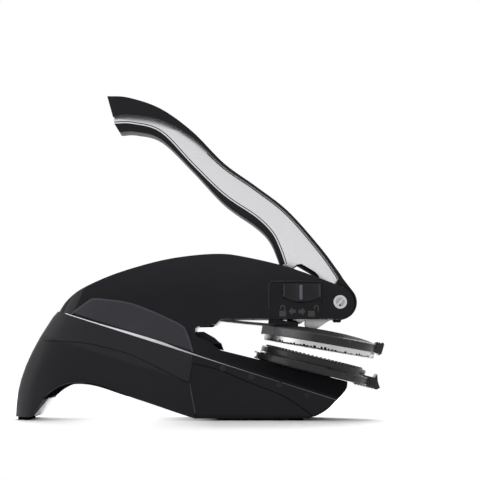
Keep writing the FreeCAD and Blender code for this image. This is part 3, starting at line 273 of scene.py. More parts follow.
class Link:
    """A node socket that takes part in sums and products."""

    def __init__(self, finish, socket):
        self.finish = finish
        self.socket = socket

    def math(self, operation, *values):
        return self.finish.node("ShaderNodeMath", {"operation": operation}, dict(enumerate(values)))

    def __add__(self, other):
        return self.math("ADD", self, other)

    def __mul__(self, other):
        return self.math("MULTIPLY", self, other)

    def __rsub__(self, other):
        return self.math("SUBTRACT", other, self)

    def sine(self):
        return self.math("SINE", self)

    def root(self):
        return self.math("SQRT", self)

    def most(self, other):
        return self.math("MAXIMUM", self, other)

    def ramp(self, low, high):
        """0 at low, 1 at high, straight between and level beyond."""
        return self.finish.node("ShaderNodeMapRange", {"clamp": True}, {1: low, 2: high, 0: self})


class Finish:
    """A procedural material: one Principled shader and what feeds it."""

    def __init__(self, name, **fixed):
        self.material = bpy.data.materials.new(name)
        self.material.use_nodes = True
        self.tree = self.material.node_tree
        self.tree.nodes.clear()
        self.shader = self.tree.nodes.new("ShaderNodeBsdfPrincipled")
        self.result = self.tree.nodes.new("ShaderNodeOutputMaterial")
        self.tree.links.new(self.shader.outputs[0], self.result.inputs[0])
        for socket, value in fixed.items():
            self.set(socket.replace("_", " ").title(), value)

    def feed(self, socket, value):
        if isinstance(value, Link):
            self.tree.links.new(value.socket, socket)
        elif socket.type == "RGBA" and len(value) == 3:
            socket.default_value = (*value, 1.0)
        else:
            socket.default_value = value

    def set(self, name, value):
        self.feed(self.shader.inputs[name.replace("Ior", "IOR")], value)

    def node(self, kind, settings=(), inputs=(), output=0):
        made = self.tree.nodes.new(kind)
        for name, value in dict(settings).items():
            setattr(made, name, value)
        for name, value in dict(inputs).items():
            self.feed(made.inputs[name], value)
        return Link(self, made.outputs[output])

    def place(self, scale=(1, 1, 1), centre=(0, 0), slope=0.0):
        """Object position, in metres, about a centre in the side view and along its slope."""
        moved = self.node("ShaderNodeMapping", {"vector_type": "TEXTURE"},
                          {"Vector": self.node("ShaderNodeTexCoord", output="Object"),
                           "Location": (centre[0] * MM, 0, centre[1] * MM),
                           "Rotation": (0, math.radians(slope), 0)})
        return self.node("ShaderNodeMapping", {}, {"Vector": moved, "Scale": scale})

    def axes(self, centre=(0, 0), slope=0.0):
        """The three parts of place()."""
        split = self.tree.nodes.new("ShaderNodeSeparateXYZ")
        self.feed(split.inputs[0], self.place(centre=centre, slope=slope))
        return [Link(self, part) for part in split.outputs]

    def noise(self, size, detail=2.0, where=None, roughness=0.5):
        """Noise whose blobs are about size millimetres across."""
        where = where or self.node("ShaderNodeTexCoord", output="Object")
        return self.node("ShaderNodeTexNoise", {}, {"Vector": where, "Scale": 1 / (size * MM),
                                                    "Detail": detail, "Roughness": roughness})

    def cells(self, size):
        where = self.node("ShaderNodeTexCoord", output="Object")
        return self.node("ShaderNodeTexVoronoi", {"feature": "F1"},
                         {"Vector": where, "Scale": 1 / (size * MM)})

    def glow(self):
        """Plain white emission."""
        lit = self.tree.nodes.new("ShaderNodeEmission")
        lit.inputs["Color"].default_value = (1, 1, 1, 1)
        return lit

    def mixed(self, first, second, share):
        """Two shaders mixed: only the second where share is 1."""
        made = self.tree.nodes.new("ShaderNodeMixShader")
        self.feed(made.inputs[0], share)
        self.tree.links.new(first.outputs[0], made.inputs[1])
        self.tree.links.new(second.outputs[0], made.inputs[2])
        return made

    def bumped(self, height, depth, strength=0.5):
        """The material, with relief of about depth millimetres."""
        self.set("Normal", self.node("ShaderNodeBump", {}, {"Height": height, "Distance": depth * MM,
                                                            "Strength": strength}))
        return self.material

    def coloured(self, mix, dark, light, rough):
        """The material, with a colour between two others and a roughness."""
        self.set("Base Color", self.node("ShaderNodeMix", {"data_type": "RGBA"},
                                         {0: mix, 6: (*dark, 1.0), 7: (*light, 1.0)}, 2))
        self.set("Roughness", rough)
        return self.material


def lighter(base, factor):
    return tuple(min(1.0, c * factor) for c in base)


def gloss_black(colours):
    """Polished mould surface with a faint swirl of handling marks, a painted highlight along its top and
    painted shade of the dies on the dull jaw behind them.
    """
    f = Finish("gloss_black", coat_roughness=0.05, specular_ior_level=0.03)
    smear = f.noise(22, 4)
    dust = f.cells(1.3).ramp(0.10, 0.04) * f.noise(9, 3).ramp(0.5, 0.7)
    x, _, z = f.axes()
    trim = trim_z(0) * MM
    over_trim = (z + x * math.tan(math.radians(TRIM_SLOPE))).ramp(trim, trim + 0.002)
    # Painted shade: above the trim and below the lower die the colour darkens as if in the dies' shadow, and
    # the surface turns dull.
    dull_and_die_shade = over_trim * z.ramp(*DULL_SHADE_Z) * x.ramp(*DULL_SHADE_X)
    # Painted highlight: the top of the housing turns paler, as if lit from above.
    crown = z.ramp(*PAINTED_TOP_LIGHT_Z)
    f.set("Coat Weight", (0.22 - dust * 0.15) * (1 - dull_and_die_shade * 0.9))
    f.coloured((smear * 0.3 + dust * 0.1 + crown * 0.5) * (1 - dull_and_die_shade), lighter(colours.gloss, 0.9),
               lighter(colours.gloss, 4.0), smear * 0.10 + 0.20 + dust * 0.2 + dull_and_die_shade * 0.3)
    return f.bumped(f.noise(7, 2), 0.02, 0.35)


def soft_grey(name, base):
    """Soft-touch plastic with a fine spark-eroded grain, paler above the grip's crease."""
    f = Finish(name, specular_ior_level=0.15)
    grain = f.cells(0.42)
    patch = f.noise(16, 3)
    x, _, z = f.axes()
    over_crease = (z + x * CREASE_FALL).ramp(CREASE_RISE * MM, (CREASE_RISE + 1.5) * MM)
    f.coloured(patch * 0.35 + grain * 0.15 + over_crease * 0.5, lighter(base, 0.60), lighter(base, 2.10),
               patch * 0.12 + 0.42)
    return f.bumped(grain * 0.6 + f.noise(0.5, 2) * 0.6, 0.014)


def rubber():
    f = Finish("rubber", base_color=(0.006, 0.006, 0.007), specular_ior_level=0.0)
    f.set("Roughness", f.noise(3, 3) * 0.2 + 0.6)
    return f.bumped(f.noise(0.6, 3), 0.05)


def brushed(name, base, rough, size=(0.25, 6.0, 0.25), depth=0.01, dull=0.8):
    """Metal drawn along one axis: size gives the streaks in millimetres on x, y and z."""
    f = Finish(name, metallic=1.0)
    streak = f.noise(1, 2, f.place(tuple(1 / s for s in size)))
    cloud = f.noise(12, 3)
    f.coloured(streak * 0.5 + cloud * 0.5, lighter(base, dull), base, streak * 0.14 + cloud * 0.08 + rough)
    return f.bumped(streak, depth)


def lathe_turned(name, base, rough, centre, slope):
    """Faced metal: fine rings about the die's own axis."""
    f = Finish(name, metallic=1.0)
    x, y, _ = f.axes(centre, slope)
    rings = ((x * x + y * y).root() * (2 * math.pi / (LATHE_PITCH * MM))).sine() * 0.5 + 0.5
    cloud = f.noise(8, 4)
    f.coloured(cloud, lighter(base, 0.82), base, cloud * 0.14 + rings * 0.06 + rough)
    return f.bumped(rings * 0.7 + f.noise(0.8, 3) * 0.3, 0.012, 0.6)


def die_ring(colours):
    """Black anodised ring with rubbed spots, dull on top, and a painted reflection on the rear of the upper
    holder's side.
    """
    f = Finish("die_ring", specular_ior_level=0.18)
    rub = f.noise(5, 5, roughness=0.65).ramp(0.60, 0.74)
    u, _, n = f.axes(UPPER, UPPER_SLOPE)
    top = n.ramp(*HOLDER_MATT_N)
    # Painted reflection: a pale band on the side of the upper holder towards its rear.
    painted_reflection = u.ramp(*HOLDER_REFLECTION_U) * n.ramp(0.000, 0.001)
    f.coloured((rub * 0.3 + painted_reflection * 0.7) * (1 - top), colours.ring, (0.13, 0.13, 0.135),
               f.noise(3, 3) * 0.12 + 0.20 + top * 0.6)
    return f.bumped(f.noise(0.7, 2), 0.012)


def cast_metal(name, base, rough):
    """Die-cast surface with a sandy skin."""
    f = Finish(name, metallic=1.0)
    skin = f.noise(0.8, 4)
    cloud = f.noise(14, 3)
    f.coloured(cloud * 0.6 + skin * 0.4, lighter(base, 0.7), base, cloud * 0.15 + rough)
    return f.bumped(skin, 0.05)


def satin_trim(colours):
    """Satin strip that darkens towards the nose."""
    f = Finish("satin_trim", metallic=0.35)
    cloud = f.noise(6, 3)
    forward = f.axes()[0].ramp(*TRIM_DARK_X)
    f.coloured(cloud * 0.15 + forward * 0.85, colours.trim, lighter(colours.trim, 0.09), cloud * 0.1 + 0.3)
    return f.bumped(f.noise(0.4, 2), 0.01, 0.4)


def printed_ink():
    f = Finish("printed_ink")
    wear = f.noise(0.7, 3)
    return f.coloured(wear, (0.014, 0.014, 0.014), (0.030, 0.030, 0.030), wear * 0.2 + 0.4)


SOFT_FACTORS = {"soft_grey": 1.0, "pad_grey_and_highlight": 1.9, "pad_highlight": 3.3, "highlight_grey": 6.0, "grip_black": 0.5,
                "button_black": 0.8}
BRUSHED = {
    "steel": ((0.52, 0.52, 0.53), 0.30),
    "pin_face": ((0.58, 0.58, 0.60), 0.30, (3.0, 3.0, 0.12)),
    "pin_recess": ((0.38, 0.38, 0.39), 0.30, (0.3, 3.0, 0.3)),
    "dark_steel": ((0.03, 0.03, 0.033), 0.32),
    "spring_steel": ((0.06, 0.062, 0.066), 0.26, (9.0, 0.3, 9.0)),
    "lever_black": ((0.012, 0.012, 0.012), 0.4),
}
CAST = {"bronze": ((0.52, 0.33, 0.14), 0.35), "cast": ((0.62, 0.62, 0.63), 0.3)}
OTHERS = {
    "gloss_black": gloss_black,
    "rubber": lambda c: rubber(),
    "die_ring": die_ring,
    "trim": satin_trim,
    "ink": lambda c: printed_ink(),
    "plate_chrome": lambda c: brushed("plate_chrome", tuple(c.plate), 0.20, (0.3, 3.0, 14.0), 0.006, 0.93),
    "die_face_upper": lambda c: lathe_turned("die_face_upper", tuple(c.die), 0.26, UPPER, UPPER_SLOPE),
    # Painted shade: the lower die is the upper die's metal, darkened for the shadow between the dies.
    "die_face_lower": lambda c: lathe_turned("die_face_lower", lighter(c.die, 0.2), 0.3, LOWER, LOWER_SLOPE),
}
FINISHES = {}


def new_finish(name, colours):
    if name in SOFT_FACTORS:
        return soft_grey(name, lighter(colours.soft, SOFT_FACTORS[name]))
    if name in BRUSHED:
        return brushed(name, *BRUSHED[name])
    if name in CAST:
        return cast_metal(name, *CAST[name])
    return OTHERS[name](colours)


def finish_of(name):
    """The named finish, made once."""
    if name not in FINISHES:
        FINISHES[name] = new_finish(name, bpy.context.scene.embosser_colours)
    return FINISHES[name]


# ================================================================ modelling
def at(x, y, z):
    return Vector((x * MM, y * MM, z * MM))


def only(*pieces):
    """Select just these pieces, the first one active."""
    if bpy.context.mode != "OBJECT":
        bpy.ops.object.mode_set(mode="OBJECT")
    bpy.ops.object.select_all(action="DESELECT")
    for piece in pieces:
        piece.select_set(True)
    bpy.context.view_layer.objects.active = pieces[0] if pieces else None


def applied(piece):
    """Move the piece's place, turn and scale into its mesh."""
    only(piece)
    bpy.ops.object.transform_apply(location=True, rotation=True, scale=True)
    return piece


def named(name):
    """The primitive just added, with its place moved into its mesh."""
    piece = bpy.context.object
    piece.name = name
    piece.data.name = name
    return applied(piece)


@contextmanager
def editing(piece, kind="VERT", everything=True):
    only(piece)
    bpy.ops.object.mode_set(mode="EDIT")
    bpy.ops.mesh.select_mode(type=kind)
    if everything:
        bpy.ops.mesh.select_all(action="SELECT")
    yield
    bpy.ops.object.mode_set(mode="OBJECT")


def pick_edges(piece, test):
    """Select the edges whose middle and run, in millimetres, and whose faces' normals pass the test."""
    only(piece)
    mesh = piece.data
    normals = {}
    for polygon in mesh.polygons:
        polygon.select = False
        for key in polygon.edge_keys:
            normals.setdefault(key, []).append(polygon.normal)
    for vertex in mesh.vertices:
        vertex.select = False
    for edge in mesh.edges:
        a, b = (mesh.vertices[i].co / MM for i in edge.vertices)
        edge.select = bool(test((a + b) / 2, (b - a), normals.get(edge.key, [])))


def on_side(middle, run, near=FLAT - 1):
    """Whether an edge of a flat plate runs along the outline of one of its sides."""
    return abs(middle.y) > near and abs(run.y) < 0.1


def off_line(place, line):
    """Distance of a point from a line of points."""
    best = math.inf
    place = Vector(place)
    for a, b in zip(line, line[1:]):
        a, b = Vector(a), Vector(b)
        share = max(0.0, min(1.0, (place - a).dot(b - a) / (b - a).length_squared))
        best = min(best, (place - a.lerp(b, share)).length)
    return best


def along(line, near=0.05):
    """Test for outline edges that run along a line of points."""
    return lambda middle, run, normals: on_side(middle, run) and off_line((middle.x, middle.z), line) < near


def whole_outline(middle, run, normals):
    return on_side(middle, run, FLAT - 0.1)


def round_edges(piece, test, radius, segments=4):
    """Bevel the picked edges in edit mode."""
    pick_edges(piece, test)
    with editing(piece, "EDGE", everything=False):
        bpy.ops.mesh.bevel(offset=radius * MM, offset_type="OFFSET", segments=segments, profile=0.5,
                           affect="EDGES", clamp_overlap=True)


def traced(name, points, y=0.0):
    """Chain of edges through points in the side view."""
    only()
    bpy.ops.mesh.primitive_plane_add(size=MM, location=at(points[0][0], y, points[0][1]))
    piece = named(name)
    with editing(piece):
        bpy.ops.mesh.merge(type="CENTER")
        for (x0, z0), (x1, z1) in zip(points, points[1:]):
            bpy.ops.mesh.extrude_region_move(TRANSFORM_OT_translate={"value": at(x1 - x0, 0, z1 - z0)})
    return piece


def drawn(name, points, y0, y1):
    """Flat plate: its side outline is drawn point by point, filled and pulled out along Y."""
    piece = traced(name, points, y0)
    with editing(piece):
        bpy.ops.mesh.edge_face_add()
        bpy.ops.mesh.extrude_region_move(TRANSFORM_OT_translate={"value": at(0, y1 - y0, 0)})
        bpy.ops.mesh.select_all(action="SELECT")
        bpy.ops.mesh.normals_make_consistent(inside=False)
    return piece


def spun(name, profile):
    """Turned piece about the Z axis, from its half section of radius and height."""
    piece = traced(name, profile)
    with editing(piece):
        bpy.ops.mesh.spin(steps=SPIN_STEPS, angle=2 * math.pi, center=(0, 0, 0), axis=(0, 0, 1))
        bpy.ops.mesh.select_all(action="SELECT")
        bpy.ops.mesh.remove_doubles(threshold=0.005 * MM)
        bpy.ops.mesh.normals_make_consistent(inside=False)
    return piece


def block(name, x0, x1, y0, y1, z0, z1):
    only()
    bpy.ops.mesh.primitive_cube_add(size=1, location=at((x0 + x1) / 2, (y0 + y1) / 2, (z0 + z1) / 2))
    bpy.context.object.scale = at(x1 - x0, y1 - y0, z1 - z0)
    return named(name)


def rod(name, centre, radius, y0, y1, steps=48):
    """Cylinder along Y about a centre in the side view."""
    only()
    bpy.ops.mesh.primitive_cylinder_add(vertices=steps, radius=radius * MM, depth=(y1 - y0) * MM,
                                        location=at(centre[0], (y0 + y1) / 2, centre[1]),
                                        rotation=(math.pi / 2, 0, 0))
    return named(name)


def post(name, x, y, z, radius, height, steps):
    """Cylinder along Z about its middle."""
    only()
    bpy.ops.mesh.primitive_cylinder_add(vertices=steps, radius=radius * MM, depth=height * MM,
                                        location=at(x, y, z))
    return named(name)


def copied(piece, name):
    twin = piece.copy()
    twin.data = piece.data.copy()
    twin.name = name
    bpy.context.scene.collection.objects.link(twin)
    return twin


def combined(piece, operation, *tools):
    """Boolean with other meshes, which are used up."""
    for tool in tools:
        only(piece)
        modifier = piece.modifiers.new("combine", "BOOLEAN")
        modifier.operation = operation
        modifier.solver = "EXACT"
        modifier.object = tool
        bpy.ops.object.modifier_apply(modifier=modifier.name)
        bpy.data.objects.remove(tool)
    return piece


def cut(piece, *tools):
    return combined(piece, "DIFFERENCE", *tools)


def merged(piece, *others):
    return combined(piece, "UNION", *others)


def shaded(piece, angle=38.0):
    only(piece)
    bpy.ops.object.shade_smooth_by_angle(angle=math.radians(angle))
    return piece


def softened(piece, radius, segments=3, angle=40.0):
    """Bevel what is still sharp, then shade by angle."""
    only(piece)
    modifier = piece.modifiers.new("soften", "BEVEL")
    modifier.width = radius * MM
    modifier.segments = segments
    modifier.limit_method = "ANGLE"
    modifier.angle_limit = math.radians(angle)
    modifier.miter_outer = "MITER_ARC"
    bpy.ops.object.modifier_apply(modifier=modifier.name)
    return shaded(piece)


def gridded(piece, step_x, step_z, rear_step=1.2):
    """Cut the flat sides into a grid, finer where the plan turns in at the rear."""
    low = [min(v.co[i] for v in piece.data.vertices) / MM for i in (0, 2)]
    high = [max(v.co[i] for v in piece.data.vertices) / MM for i in (0, 2)]
    with editing(piece):
        x = low[0] + rear_step
        while x < high[0]:
            bpy.ops.mesh.select_all(action="SELECT")
            bpy.ops.mesh.bisect(plane_co=at(x, 0, 0), plane_no=(1, 0, 0))
            x += rear_step if x < REAR_TURN else step_x
        z = low[1] + step_z
        while z < high[1]:
            bpy.ops.mesh.select_all(action="SELECT")
            bpy.ops.mesh.bisect(plane_co=at(0, 0, z), plane_no=(0, 0, 1))
            z += step_z
    return piece


def draped(piece, grow, sunk=None):
    """Move flat sides onto the envelope: a vertex keeps its depth below the flat side.

    sunk gives an extra depth for each place in the side view.
    """
    for vertex in piece.data.vertices:
        x, y, z = vertex.co / MM
        depth = FLAT - abs(y) + (sunk(x, z) if sunk else 0.0)
        vertex.co.y = math.copysign(half_width(x, z, grow) - depth, y) * MM
    piece.data.update()
    return piece


def mirrored(piece, name):
    """Twin on the other side of the middle plane."""
    twin = copied(piece, name)
    for vertex in twin.data.vertices:
        vertex.co.y = -vertex.co.y
    with editing(twin):
        bpy.ops.mesh.flip_normals()
    return twin


def leaned(piece, centre, slope):
    """Place a piece built about the origin on the slope of its jaw."""
    turn = Matrix.Rotation(math.radians(slope), 4, "Y")
    piece.matrix_world = Matrix.Translation(at(centre[0], 0, centre[1])) @ turn
    return applied(piece)


def worn_by(piece, finish, body, slot, *nodes):
    """Give a piece its finish and body, and hide the nodes that it stands for; slot is not used."""
    piece.data.materials.clear()
    piece.data.materials.append(finish_of(finish))
    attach(piece, body)
    if nodes:
        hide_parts(*nodes)
    return piece


def both_sides(right, name, finish, body, slot, node=None):
    """Dress a right-hand piece, then its twin: {} in the name and the node stands for the side."""
    right.name = name.format("right")
    worn_by(right, finish, body, slot, *([node.format("right")] if node else []))
    left = mirrored(right, name.format("left"))
    worn_by(left, finish, body, slot, *([node.format("left")] if node else []))


def ribbon(name, line, near, far, y0, y1):
    """Plate between two lines moved sideways from a line of points."""
    return drawn(name, shifted(line, near) + shifted(line, far)[::-1], y0, y1)


# ================================================================ outlines
def flowing(points, steps=6):
    """Points of a smooth curve through the given ones."""
    points = [Vector(p) for p in points]
    padded = [2 * points[0] - points[1], *points, 2 * points[-1] - points[-2]]
    result = []
    for a, b, c, d in zip(padded, padded[1:], padded[2:], padded[3:]):
        for i in range(steps):
            t = i / steps
            result.append(0.5 * (2 * b + (c - a) * t + (2 * a - 5 * b + 4 * c - d) * t ** 2
                                 + (3 * b - a - 3 * c + d) * t ** 3))
    result.append(points[-1])
    return [tuple(p) for p in result]


def polar(centre, radius, angle):
    a = math.radians(angle)
    return (centre[0] + radius * math.cos(a), centre[1] + radius * math.sin(a))


def arc(centre, radius, start, end, steps=16):
    return [polar(centre, radius, start + (end - start) * i / steps) for i in range(steps + 1)]


def shifted(points, distance):
    """Line of points moved sideways: a positive distance moves it to its left."""
    moved = []
    for i, here in enumerate(points):
        a, b = points[max(0, i - 1)], points[min(len(points) - 1, i + 1)]
        run = (Vector(b) - Vector(a)).normalized()
        moved.append((here[0] - run.y * distance, here[1] + run.x * distance))
    return moved


def joined(*runs):
    """One outline from several runs of points, without repeats."""
    outline = []
    for run in runs:
        for point in run:
            if not outline or math.dist(point, outline[-1]) > 0.02:
                outline.append(tuple(point))
    if math.dist(outline[0], outline[-1]) < 0.02:
        outline.pop()
    return outline


def hermite(knots, x):
    """Value at x of a smooth curve through knots of (x, value)."""
    i = max(0, min(len(knots) - 2, sum(k[0] <= x for k in knots) - 1))
    slopes = [(b[1] - a[1]) / (b[0] - a[0]) for a, b in zip(knots, knots[1:])]
    near = [slopes[max(0, i - 1)], slopes[i], slopes[min(len(slopes) - 1, i + 1)]]
    m0, m1 = (near[0] + near[1]) / 2, (near[1] + near[2]) / 2
    (x0, v0), (x1, v1) = knots[i], knots[i + 1]
    h = x1 - x0
    t = max(0.0, min(1.0, (x - x0) / h))
    return ((2 * t ** 3 - 3 * t ** 2 + 1) * v0 + (t ** 3 - 2 * t ** 2 + t) * h * m0
            + (3 * t ** 2 - 2 * t ** 3) * v1 + (t ** 3 - t ** 2) * h * m1)


def half_width(x, z, grow):
    """Half width of the shells' common envelope."""
    rear = hermite(REAR_LINE, z) - grow
    wide = BASE_HALF - TAPER * z + grow
    nose = NOSE_HALF - TAPER * z + grow
    knots = ((rear, 0.52 * wide), (rear + 3.2, 0.76 * wide), (rear + 11, 0.93 * wide), (rear + 34, wide),
             (10.0, wide), (PIVOT[0] - 12, nose + 0.6), (PIVOT[0] + 2, nose - 0.7), (72.0 + grow, nose - 2.2))
    return hermite(knots, x)


def trim_z(x):
    return TRIM[1] - math.tan(math.radians(TRIM_SLOPE)) * (x - TRIM[0])


def jaw_z(x, n):
    """Height of the plane n above the lower die's face."""
    a = math.radians(LOWER_SLOPE)
    return LOWER[1] - math.tan(a) * (x - LOWER[0]) + n / math.cos(a)


NOSE_TOP = polar(NOSE, NOSE_R, 70)
LIP_Z = NOSE[1] - NOSE_R
BACK = flowing(((TRIM[0] - 0.5, trim_z(TRIM[0] - 0.5)), (-59.6, 53.4), (-52.4, 58.6), (-38.0, 64.9),
                (-20.0, 70.3), (-5.6, 72.9), (8.8, 73.9), (19.6, 72.6), (37.6, 68.5), (52.0, 63.6), NOSE_TOP))


def housing_outline():
    jaw_front = (65.4, jaw_z(65.4, JAW_TOP))
    mouth = flowing(((-2.0, 38.0), (-0.6, 36.6), (3.6, 34.9), (8.8, jaw_z(8.8, JAW_TOP))), 4)
    chin = flowing((jaw_front, (65.0, 14.2), (62.9, 11.3), (60.4, trim_z(60.4))), 5)
    return joined(BACK, arc(NOSE, NOSE_R, 70, -90, 22),
                  ((9.5, LIP_Z), (7.0, 42.2), (-0.6, 41.4), (-2.0, 40.6)), mouth, chin)


UNDERSIDE = flowing(((-74.9, 1.4), (-71.3, 5.6), (-67.4, 10.4), (-61.5, 14.6), (-54.0, 16.2), (-45.2, 15.2),
                     (-34.4, 11.6), (-20.0, 6.9), (-9.2, 3.2), (-2.0, BASE_LIFT)), 5)


# ================================================================ housing
def screw_holes(centres):
    """Counterbores for the shell screws in the left wall."""
    return [rod("bore", centre, BORE_R, BORE_FLOOR, 40) for centre in centres]


def bosses(centres):
    """Screw posts that stay standing inside both walls."""
    return [rod("boss", centre, BOSS_R, side * 25 - 15, side * 25 + 15) for centre in centres
            for side in (-1, 1)]


def is_crown(middle, run, normals):
    """Top edges of the housing, down to the trim line at its rear end."""
    over = middle.z > trim_z(middle.x) + 1.2 and (middle.x <= -58 or middle.z > 55)
    return on_side(middle, run) and over and middle.x < NOSE_TOP[0] - 0.2


def is_nose(middle, run, normals):
    return on_side(middle, run) and middle.x > NOSE[0] + 0.6 and middle.z > LIP_Z + 0.1


def is_rim(middle, run, normals):
    """Sharp edges below the nose's lip."""
    sharp = len(normals) == 2 and math.degrees(normals[0].angle(normals[1], 0)) > 60
    return on_side(middle, run) and sharp and middle.z < LIP_Z + 1


def housing_room():
    """Hollow that holds the frame plates and the mechanism."""
    low = trim_z(-56.5) - 4
    floor = JAW_TOP - 1.6
    outline = joined(((-57.5, low), (-56.5, 47.0), (-52.0, 54.4), (-45.7, 58.8), (-18.3, 68.0), (8.0, 71.6),
                      (36.3, 66.5), (58.0, 59.2)),
                     arc(NOSE, NOSE_R - WALL, 68, -90, 12),
                     ((-4.0, LIP_Z + WALL), (-4.0, 31.0), (6.0, jaw_z(6.0, floor)),
                      (63.2, jaw_z(63.2, floor)), (60.5, 5.0), (40.0, 5.0)))
    room = gridded(drawn("room", outline, -FLAT, FLAT), 8, 8, 8)
    return cut(draped(room, -LEDGE - WALL), *bosses(HOUSING_SCREWS))


def lock_pocket():
    """Tool for the lock's recess: its floor follows the wall, POCKET_D below it."""
    x0, x1 = BUTTON_X - LOCK_TRAVEL - BUTTON_L / 2 - 0.6, BUTTON_X + BUTTON_L / 2 + 0.6
    z0, z1 = LOCK_Z - 11.2, LOCK_Z + BUTTON_H / 2 + 0.4
    pocket = drawn("pocket", ((x0, z0), (x1, z0), (x1, z1), (x0, z1)), -FLAT - 6, -FLAT)
    gridded(pocket, 1.5, 1.5, 1.5)
    for vertex in pocket.data.vertices:
        x, y, z = vertex.co / MM
        floor = half_width(x, z, -LEDGE - POCKET_D)
        vertex.co.y = -(floor if abs(y + FLAT) < 0.1 else floor + 6) * MM
    return pocket


def housing_openings():
    """Tools for the throat, the lower die's seat, the lock, the lever's slots and the pin."""
    throat = ((-8.0, 33.4), (-8.0, 39.2), (1.5, 39.4), (6.5, 36.8), (9.9, 33.4))
    seat = block("anvil", -26.4, 9.4, -11.0, 11.0, JAW_TOP - 4, JAW_TOP + 2)
    return [block("slot", SLOT_X, 90, -SLOT_HALF, SLOT_HALF, SLOT_Z, 90),
            block("arm_slot", 5.0, 90, -SLOT_HALF, SLOT_HALF, SLOT_Z + 0.9, 60),
            drawn("throat", throat, -SLOT_HALF, SLOT_HALF), leaned(seat, LOWER, LOWER_SLOPE),
            lock_pocket(),
            block("window", BUTTON_X - LOCK_TRAVEL - STEM_X - 0.4, BUTTON_X + STEM_X + 0.4, -40, -FRAME_OUT,
                  LOCK_Z - STEM_Z - 0.4, LOCK_Z + STEM_Z + 0.4),
            rod("pin_hole", PIVOT, PIN_R + 0.1, -40, 40)]


def housing():
    """Both halves, cut from one shell along the middle plane."""
    whole = drawn("housing_shell_right", housing_outline(), -FLAT, FLAT)
    round_edges(whole, is_crown, size_of("crown"), 7)
    round_edges(whole, is_nose, 1.0)
    round_edges(whole, is_rim, size_of("edge"), 3)
    draped(gridded(whole, 3.0, 4.0), -LEDGE)
    cut(whole, housing_room(), *housing_openings(), *screw_holes(HOUSING_SCREWS))
    halves = (whole, -1, "housing_right"), (copied(whole, "housing_shell_left"), 1, "housing_left")
    for piece, side, node in halves:
        with editing(piece):
            bpy.ops.mesh.bisect(plane_co=at(0, side * SPLIT_GAP / 2, 0), plane_no=(0, -side, 0),
                                use_fill=True, clear_outer=True)
        softened(piece, 0.22, 2)
        with editing(piece):
            bpy.ops.mesh.remove_doubles(threshold=WELD * MM)
            bpy.ops.mesh.dissolve_degenerate(threshold=WELD * MM)
        worn_by(shaded(piece), "gloss_black", "frame", "gloss_black", node)


# ================================================================ base
def base_room():
    """Hollow that holds the base block and the lower ends of the frame plates."""
    underside = [(x, z - 1.0) for x, z in UNDERSIDE if x > -63]
    outline = joined(((-63.5, 52.0), (-63.5, 13.2)), underside,
                     ((46.0, -1.0), (46.0, 2.9), (52.5, 3.6), (58.6, 8.6), (58.6, 20.0)))
    room = gridded(drawn("room", outline, -FLAT, FLAT), 8, 8, 4)
    return cut(draped(room, -WALL - 0.5), *bosses(BASE_SCREWS))


def creased_shell(name, edges, crease, above, below):
    """Two draped plates that meet at the crease, the lower one set back, hollowed and joined."""
    def sunk(x, z):
        fade = max(0.0, min(1.0, (x + 70) / 14))
        return fade * size_of("crease") + WALL_LEAN * max(0.0, hermite(crease, x) - z)

    plates = []
    for outline, depth in ((above, None), (below, sunk)):
        plate = drawn(name, outline, -FLAT, FLAT)
        for line, radius in edges:
            round_edges(plate, along(line), radius)
        draped(gridded(plate, 3.0, 4.0), 0, depth)
        plates.append(cut(plate, base_room(), *screw_holes(BASE_SCREWS)))
    only(*plates)
    bpy.ops.object.join()
    return plates[0]


def base_shells():
    """Rear grip and front base, side by side at a slanting seam."""
    rear_x = TRIM[0] - 1.0
    crease_rear = (hermite(REAR_LINE, 35.2), 35.2)
    seam_top, seam_foot = (-2.8, trim_z(-2.8)), (SEAM_FOOT_X, BASE_LIFT)
    chin = flowing(((47.5, BASE_LIFT), (52.0, 2.3), (56.4, 4.9), (60.4, trim_z(60.4))), 5)
    rear_low = [(hermite(REAR_LINE, z), z) for z in (1.4, 6, 12, 18, 24, 30)] + [crease_rear]
    rear_high = [(hermite(REAR_LINE, z), z) for z in (38, 42, 46)] + [(rear_x, trim_z(rear_x))]
    rear_seam = shifted((seam_top, SEAM_BEND, seam_foot), -SEAM_GAP / 2)
    front_seam = shifted((seam_top, (-3.46, 25.2), SEAM_BEND, seam_foot), SEAM_GAP / 2)
    rear_crease = flowing((crease_rear, *REAR_CREASE, rear_seam[1]))
    front_crease = flowing((front_seam[1], *FRONT_CREASE, chin[3]))
    edges = ((rear_crease, 0.35), (rear_low + rear_high, 0.9), (UNDERSIDE, 0.9), (rear_seam[1:], 0.7),
             (rear_seam[:2], 0.25))
    grip = creased_shell("base_rear_grip", edges, rear_crease,
                         joined(reversed(rear_crease), rear_high, rear_seam[:2]),
                         joined(UNDERSIDE, reversed(rear_seam[1:]), reversed(rear_crease),
                                reversed(rear_low)))
    edges = ((front_crease, 0.35), ([front_seam[-1], *chin], 0.9), (front_seam[:2], 0.25),
             (front_seam[1:], 0.25))
    front = creased_shell("base_front_shell", edges, front_crease,
                          joined(front_crease, chin[4:], front_seam[:2]),
                          joined(front_seam[1:], chin[:4], reversed(front_crease)))
    cut(front, *(post("foot_hole", 42.1, side * 13.5, BASE_LIFT - 0.2, 3.85, 1.6, 48) for side in (-1, 1)))
    worn_by(shaded(front), "gloss_black", "frame", "gloss_black", "base_front")
    worn_by(shaded(grip), "soft_grey", "frame", "grip_grey", "base_grip")


def locating_marks():
    """Four small domed marks over the front crease, on both sides, in soft grey paler than the base round
    them: a painted highlight for the light that they catch.
    """
    for number, place in enumerate(MARKS, 1):
        mark = rod("mark", place, MARK_R, -FLAT, -FLAT + 0.6, 32)
        round_edges(mark, whole_outline, 0.5, 3)
        draped(mark, MARK_PROUD)
        both_sides(shaded(mark, 60), "locating_mark_{}_%d" % number, "soft_grey", "frame", "grip_grey")


